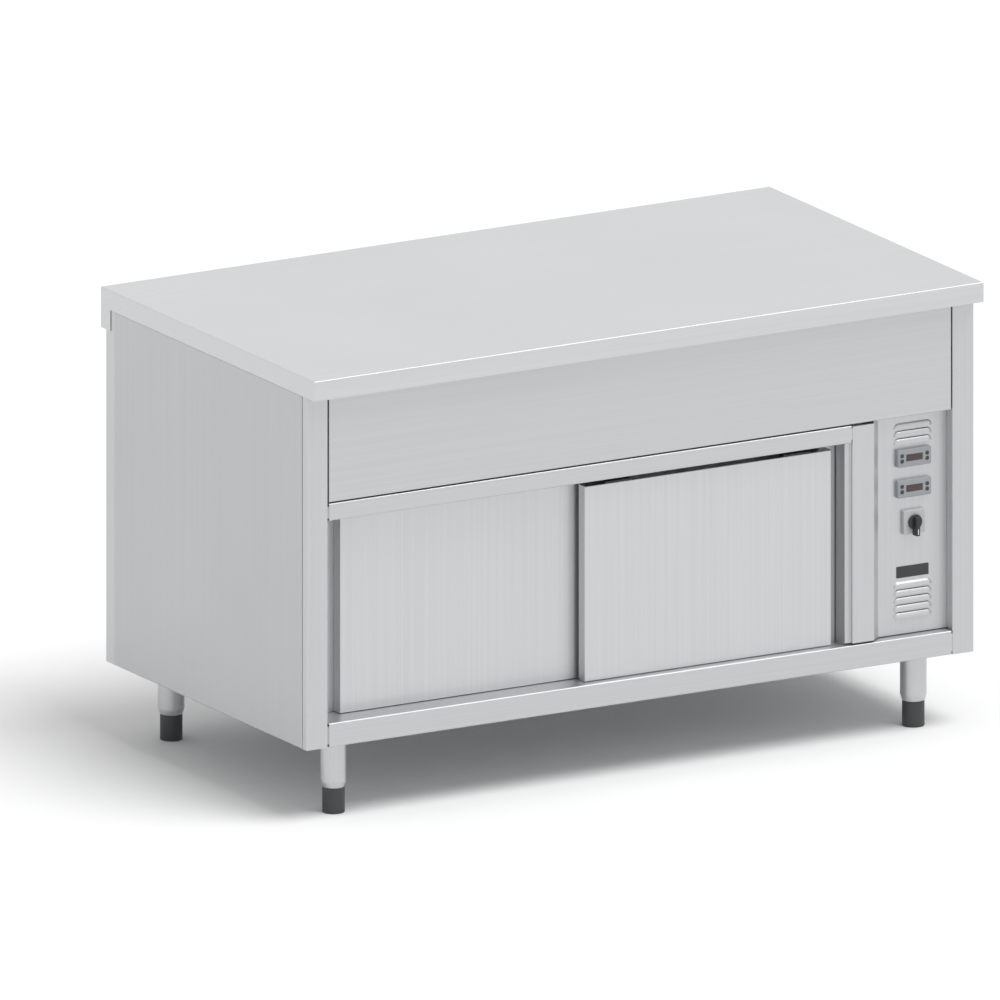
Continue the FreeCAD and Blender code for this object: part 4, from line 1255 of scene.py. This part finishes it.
@dataclass(frozen=True)
class ChamberHeaters:
    """The two hairpin heating elements on the chamber's floor, with their saddles."""

    sheath: bpy.types.Material
    steel: bpy.types.Material
    node: str = "chamber_heaters"
    radius: float = 0.00425
    tube_steps: int = 24
    half_pitch: float = 0.040
    terminal: float = 0.030
    saddle_width: float = 0.015
    saddle_margin: float = 0.012
    saddle_count: int = 3
    saddle_edge: float = 0.001
    saddle_steps: int = 2

    def middles(self) -> tuple[float, float]:
        """Finds the depths of the elements.

        Returns:
            Depth of the middle of each.
        """
        low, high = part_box(self.node)
        margin = self.half_pitch + self.saddle_margin
        return low.y + margin, high.y - margin

    def reach(self) -> Span:
        """Place across of the bend and of the terminals."""
        low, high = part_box(self.node)
        return low.x + self.half_pitch + self.radius, high.x

    def element(self, middle: float) -> bmesh.types.BMesh:
        """Bends one tube.

        Args:
            middle: Depth of its middle.

        Returns:
            The mesh.
        """
        bend, end = self.reach()
        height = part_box(self.node)[1].z - self.radius
        mesh = bmesh.new()
        ring = bmesh.ops.create_circle(mesh, segments=self.tube_steps, radius=self.radius)["verts"]
        upright = Matrix.Rotation(math.pi / 2, 4, "Y")
        place = Matrix.Translation((end, middle - self.half_pitch, height)) @ upright
        bmesh.ops.transform(mesh, matrix=place, verts=ring)
        edges = self.drawn(mesh, list(mesh.edges), bend - end)
        bent = bmesh.ops.spin(
            mesh,
            geom=corners_of(edges) + edges,
            cent=(bend, middle, height),
            axis=(0, 0, 1),
            angle=-math.pi,
            steps=self.tube_steps,
            use_merge=False,
            use_duplicate=False,
        )["geom_last"]
        self.drawn(mesh, [part for part in bent if isinstance(part, bmesh.types.BMEdge)], end - bend)
        bmesh.ops.holes_fill(mesh, edges=[edge for edge in mesh.edges if edge.is_boundary])
        bmesh.ops.recalc_face_normals(mesh, faces=mesh.faces)
        return mesh

    @staticmethod
    def drawn(
        mesh: bmesh.types.BMesh, edges: list[bmesh.types.BMEdge], length: float
    ) -> list[bmesh.types.BMEdge]:
        """Draws the end of a tube out along X.

        Args:
            mesh: The tube.
            edges: Its open end.
            length: How far it goes.

        Returns:
            The new end.
        """
        made = bmesh.ops.extrude_edge_only(mesh, edges=edges)["geom"]
        end = set(pushed(mesh, made, (length, 0.0, 0.0)))
        return [part for part in made if isinstance(part, bmesh.types.BMEdge) and end.issuperset(part.verts)]

    def saddles(self, middle: float) -> list[bmesh.types.BMesh]:
        """Shapes the saddles under one element.

        Args:
            middle: Depth of its middle.

        Returns:
            The meshes.
        """
        low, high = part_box(self.node)
        bend, end = self.reach()
        pitch = (end - self.terminal - bend) / (self.saddle_count + 1)
        half = self.half_pitch + self.saddle_margin
        top = high.z - self.radius * 2
        made = []
        for step in range(1, self.saddle_count + 1):
            start = bend + pitch * step - self.saddle_width / 2
            saddle = block((start, middle - half, low.z), (start + self.saddle_width, middle + half, top))
            bevelled(saddle, sharp_edges(saddle), self.saddle_edge, self.saddle_steps)
            made.append(saddle)
        return made

    def build(self) -> None:
        """Makes the elements, and the saddles, which wear the second material."""
        tubes = [self.element(middle) for middle in self.middles()]
        saddles = joined([saddle for middle in self.middles() for saddle in self.saddles(middle)])
        for face in saddles.faces:
            face.material_index = 1
        whole = joined([*tubes, saddles])
        finished(whole, "round_heaters", (self.sheath, self.steel), "cabinet", [self.node])


# The rest of the CAD pieces


@dataclass(frozen=True)
class Finishes:
    """Every material of the cupboard, written once."""

    top: bpy.types.Material
    across: bpy.types.Material
    upright: bpy.types.Material
    sides: bpy.types.Material
    doors: bpy.types.Material
    inner: bpy.types.Material
    legs: bpy.types.Material
    galvanised: bpy.types.Material
    hangers_painted_shade: bpy.types.Material
    thread: bpy.types.Material
    bezel: bpy.types.Material
    switch: bpy.types.Material
    window: bpy.types.Material
    buttons: bpy.types.Material
    black: bpy.types.Material
    mark: bpy.types.Material
    feet: bpy.types.Material
    lacquer: bpy.types.Material
    nylon: bpy.types.Material
    wool: bpy.types.Material
    sheath: bpy.types.Material

    @classmethod
    def written(cls) -> "Finishes":
        """Writes all of them.

        Returns:
            The materials.
        """
        upright = Grain.UPRIGHT
        finishes = {
            # Painted light: the worktop's steel is written lighter than the other steel, so the top face
            # reads brighter.
            "top": BrushedSteel("worktop_steel_across_painted_light", (0.60, 0.606, 0.616), Grain.ACROSS, 0.33),
            "across": BrushedSteel("steel_brushed_across"),
            "upright": BrushedSteel("steel_brushed_upright", grain=upright),
            # Painted shade: the side and rear panels' steel is written darker than the other steel, so these
            # faces read as if in shade.
            "sides": BrushedSteel("side_steel_upright_painted_shade", (0.50, 0.506, 0.516), upright, 0.40),
            "doors": BrushedSteel("door_steel_upright", (0.59, 0.596, 0.606), upright, 0.34),
            "inner": BrushedSteel("inner_steel_inwards", (0.52, 0.526, 0.536), Grain.INWARDS, 0.38),
            "legs": BrushedSteel(
                "leg_tube_upright", (0.56, 0.566, 0.576), upright, 0.32, contrast=0.02, relief=0.04
            ),
            "galvanised": GalvanisedSteel(),
            # Painted shade: the door hangers are written near black so that they sink into the dark gap under
            # the head rail.
            "hangers_painted_shade": GalvanisedSteel("hanger_zinc_painted_shade", (0.07, 0.072, 0.075)),
            "thread": ScrewThread(),
            "bezel": MouldedPlastic("bezel_plastic", (0.30, 0.315, 0.33)),
            "switch": MouldedPlastic("switch_plate_plastic", (0.44, 0.45, 0.46)),
            "window": DisplayGlass(),
            "buttons": MouldedPlastic("button_plastic", (0.035, 0.037, 0.040), 0.38),
            "black": MouldedPlastic("black_plastic", (0.022, 0.022, 0.024), 0.40),
            "mark": MouldedPlastic("pointer_white", (0.80, 0.80, 0.78), 0.40),
            "feet": MouldedPlastic("foot_nylon", (0.045, 0.046, 0.050), 0.50),
            "lacquer": SatinPaint(),
            "nylon": MouldedPlastic("natural_nylon", (0.74, 0.73, 0.68), 0.42),
            "wool": MineralWool(),
            "sheath": HeatingSheath(),
        }
        return cls(**{use: finish.material() for use, finish in finishes.items()})


@dataclass(frozen=True)
class Dressing:
    """Finish of each CAD piece that keeps its own shape."""

    finishes: Finishes

    def groups(self) -> list[tuple[bpy.types.Material, tuple[str, ...]]]:
        """Sorts the nodes by the material that they wear.

        Returns:
            Each material with its nodes.
        """
        use = self.finishes
        posts = tuple(f"{end}_{side}_post" for end in ("front", "rear") for side in ("left", "right"))
        walls = ("chamber_left_wall", "chamber_right_wall", "shelf_brackets", "shelf")
        rollers = tuple(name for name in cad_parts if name.endswith("_roller"))
        return [
            # The worktop wears the lighter steel, which paints light on the top face.
            (use.top, ("worktop",)),
            (use.across, ("front_fascia", "door_head_rail", "bottom_rail", "chamber_rear_wall")),
            (use.upright, (*posts, "centre_post", "left_jamb", "right_jamb")),
            # The side and rear panels wear the darker steel, which paints shade on them.
            (use.sides, ("left_side_panel", "right_side_panel", "rear_panel")),
            (use.doors, ("left_door_shell", "right_door_shell", "left_door_liner", "right_door_liner")),
            (use.inner, (*walls, "chamber_floor", "chamber_ceiling", "shelf_uprights", "heater_guard")),
            (use.galvanised, ("worktop_stiffeners", "base_panel", "upper_door_track")),
            # The hangers wear the near-black zinc, which paints shade into the gap under the head rail.
            (use.hangers_painted_shade, ("left_door_hangers", "right_door_hangers")),
            (use.nylon, ("lower_door_guides", *rollers)),
            (use.wool, ("chamber_insulation",)),
            (use.black, ("terminal_block", "cable_gland")),
        ]

    def build(self) -> None:
        """Puts the materials on."""
        for material, names in self.groups():
            for name in names:
                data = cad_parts[name].data
                data.materials.clear()
                data.materials.append(material)
                log.info("%s wears %s", name, material.name)


# Studio


@dataclass(frozen=True)
class Studio:
    """Pale floor, white surroundings and soft light."""

    floor_size: float = 60.0
    floor_albedo: float = 0.93
    surround: float = 0.61
    sun_strength: float = 1.85
    sun_angle: float = 32.0
    sun_from: Triple = (0.27, -0.50, 1.20)

    def floor(self) -> None:
        """Lays a large pale floor that takes the shadow."""
        half = self.floor_size / 2
        mesh = bmesh.new()
        corners = [mesh.verts.new((x * half, y * half, 0.0)) for x, y in ((-1, -1), (1, -1), (1, 1), (-1, 1))]
        mesh.faces.new(corners)
        data = bpy.data.meshes.new("studio_floor")
        mesh.to_mesh(data)
        mesh.free()
        shader = Shader("studio_floor_white")
        albedo = self.floor_albedo
        shader.surface_values(Base_Color=(albedo, albedo, albedo, 1.0), Roughness=1.0, Specular_IOR_Level=0.0)
        data.materials.append(shader.material)
        plane = bpy.data.objects.new("studio_floor", data)
        bpy.context.scene.collection.objects.link(plane)

    def surroundings(self) -> None:
        """Makes the surroundings white to the eye and in reflections, and softer as light."""
        world = bpy.data.worlds.new("studio_white")
        world.use_nodes = True
        tree = world.node_tree
        background = tree.nodes["Background"]
        background.inputs["Color"].default_value = (1.0, 1.0, 1.0, 1.0)
        path = tree.nodes.new("ShaderNodeLightPath")
        seen = path.outputs["Is Camera Ray"]
        for name in ("Is Glossy Ray", "Is Transmission Ray"):
            either = tree.nodes.new("ShaderNodeMath")
            either.operation = "MAXIMUM"
            tree.links.new(seen, either.inputs[0])
            tree.links.new(path.outputs[name], either.inputs[1])
            seen = either.outputs[0]
        level = tree.nodes.new("ShaderNodeMapRange")
        level.inputs["To Min"].default_value = self.surround
        level.inputs["To Max"].default_value = 1.0
        tree.links.new(seen, level.inputs["Value"])
        tree.links.new(level.outputs["Result"], background.inputs["Strength"])
        bpy.context.scene.world = world

    def sun(self) -> None:
        """Hangs one wide soft light over the working side."""
        data = bpy.data.lights.new("studio_key", "SUN")
        data.energy = self.sun_strength
        data.angle = math.radians(self.sun_angle)
        light = bpy.data.objects.new("studio_key", data)
        light.rotation_mode = "QUATERNION"
        light.rotation_quaternion = Vector(self.sun_from).to_track_quat("Z", "Y")
        bpy.context.scene.collection.objects.link(light)

    def build(self) -> None:
        """Makes the studio."""
        self.floor()
        self.surroundings()
        self.sun()
        bpy.context.scene.view_settings.view_transform = "Standard"
        log.info("studio: key %.1f, surroundings %.2f", self.sun_strength, self.surround)


@dataclass(frozen=True)
class Viewpoint:
    """Parallel view of the drawing, turned and tilted like it."""

    azimuth: float = -30.0
    elevation: float = 15.0
    width: float = 1.9417
    target: Triple = (-0.0128, 0.1419, 0.4348)
    distance: float = 12.0
    farthest: float = 48.0

    def build(self) -> None:
        """Makes the camera and looks through it."""
        turn, tilt = math.radians(self.azimuth), math.radians(self.elevation)
        flat = math.cos(tilt)
        back = Vector((math.sin(turn) * flat, -math.cos(turn) * flat, math.sin(tilt)))
        data = bpy.data.cameras.new("drawing_view")
        data.type = "ORTHO"
        data.ortho_scale = self.width
        data.clip_end = self.farthest
        camera = bpy.data.objects.new("drawing_view", data)
        camera.location = Vector(self.target) + back * self.distance
        camera.rotation_mode = "QUATERNION"
        camera.rotation_quaternion = (-back).to_track_quat("-Z", "Y")
        bpy.context.scene.collection.objects.link(camera)
        bpy.context.scene.camera = camera


def main() -> None:
    """Dresses the cupboard and sets up the studio and the camera."""
    logging.basicConfig(level=logging.INFO, format="%(name)s: %(message)s")
    finishes = Finishes.written()
    Dressing(finishes).build()
    RoundLegs(finishes.legs, finishes.feet, finishes.thread).build()
    thermostats = Thermostats(finishes.bezel, finishes.window, finishes.buttons)
    thermostats.build()
    switch = MainSwitch(finishes.switch, finishes.black, finishes.mark, finishes.lacquer)
    switch.build()
    ControlPanel(finishes.upright, thermostats, switch).build()
    ChamberHeaters(finishes.sheath, finishes.galvanised).build()
    Studio().build()
    Viewpoint().build()


if __name__ == "__main__":
    main()
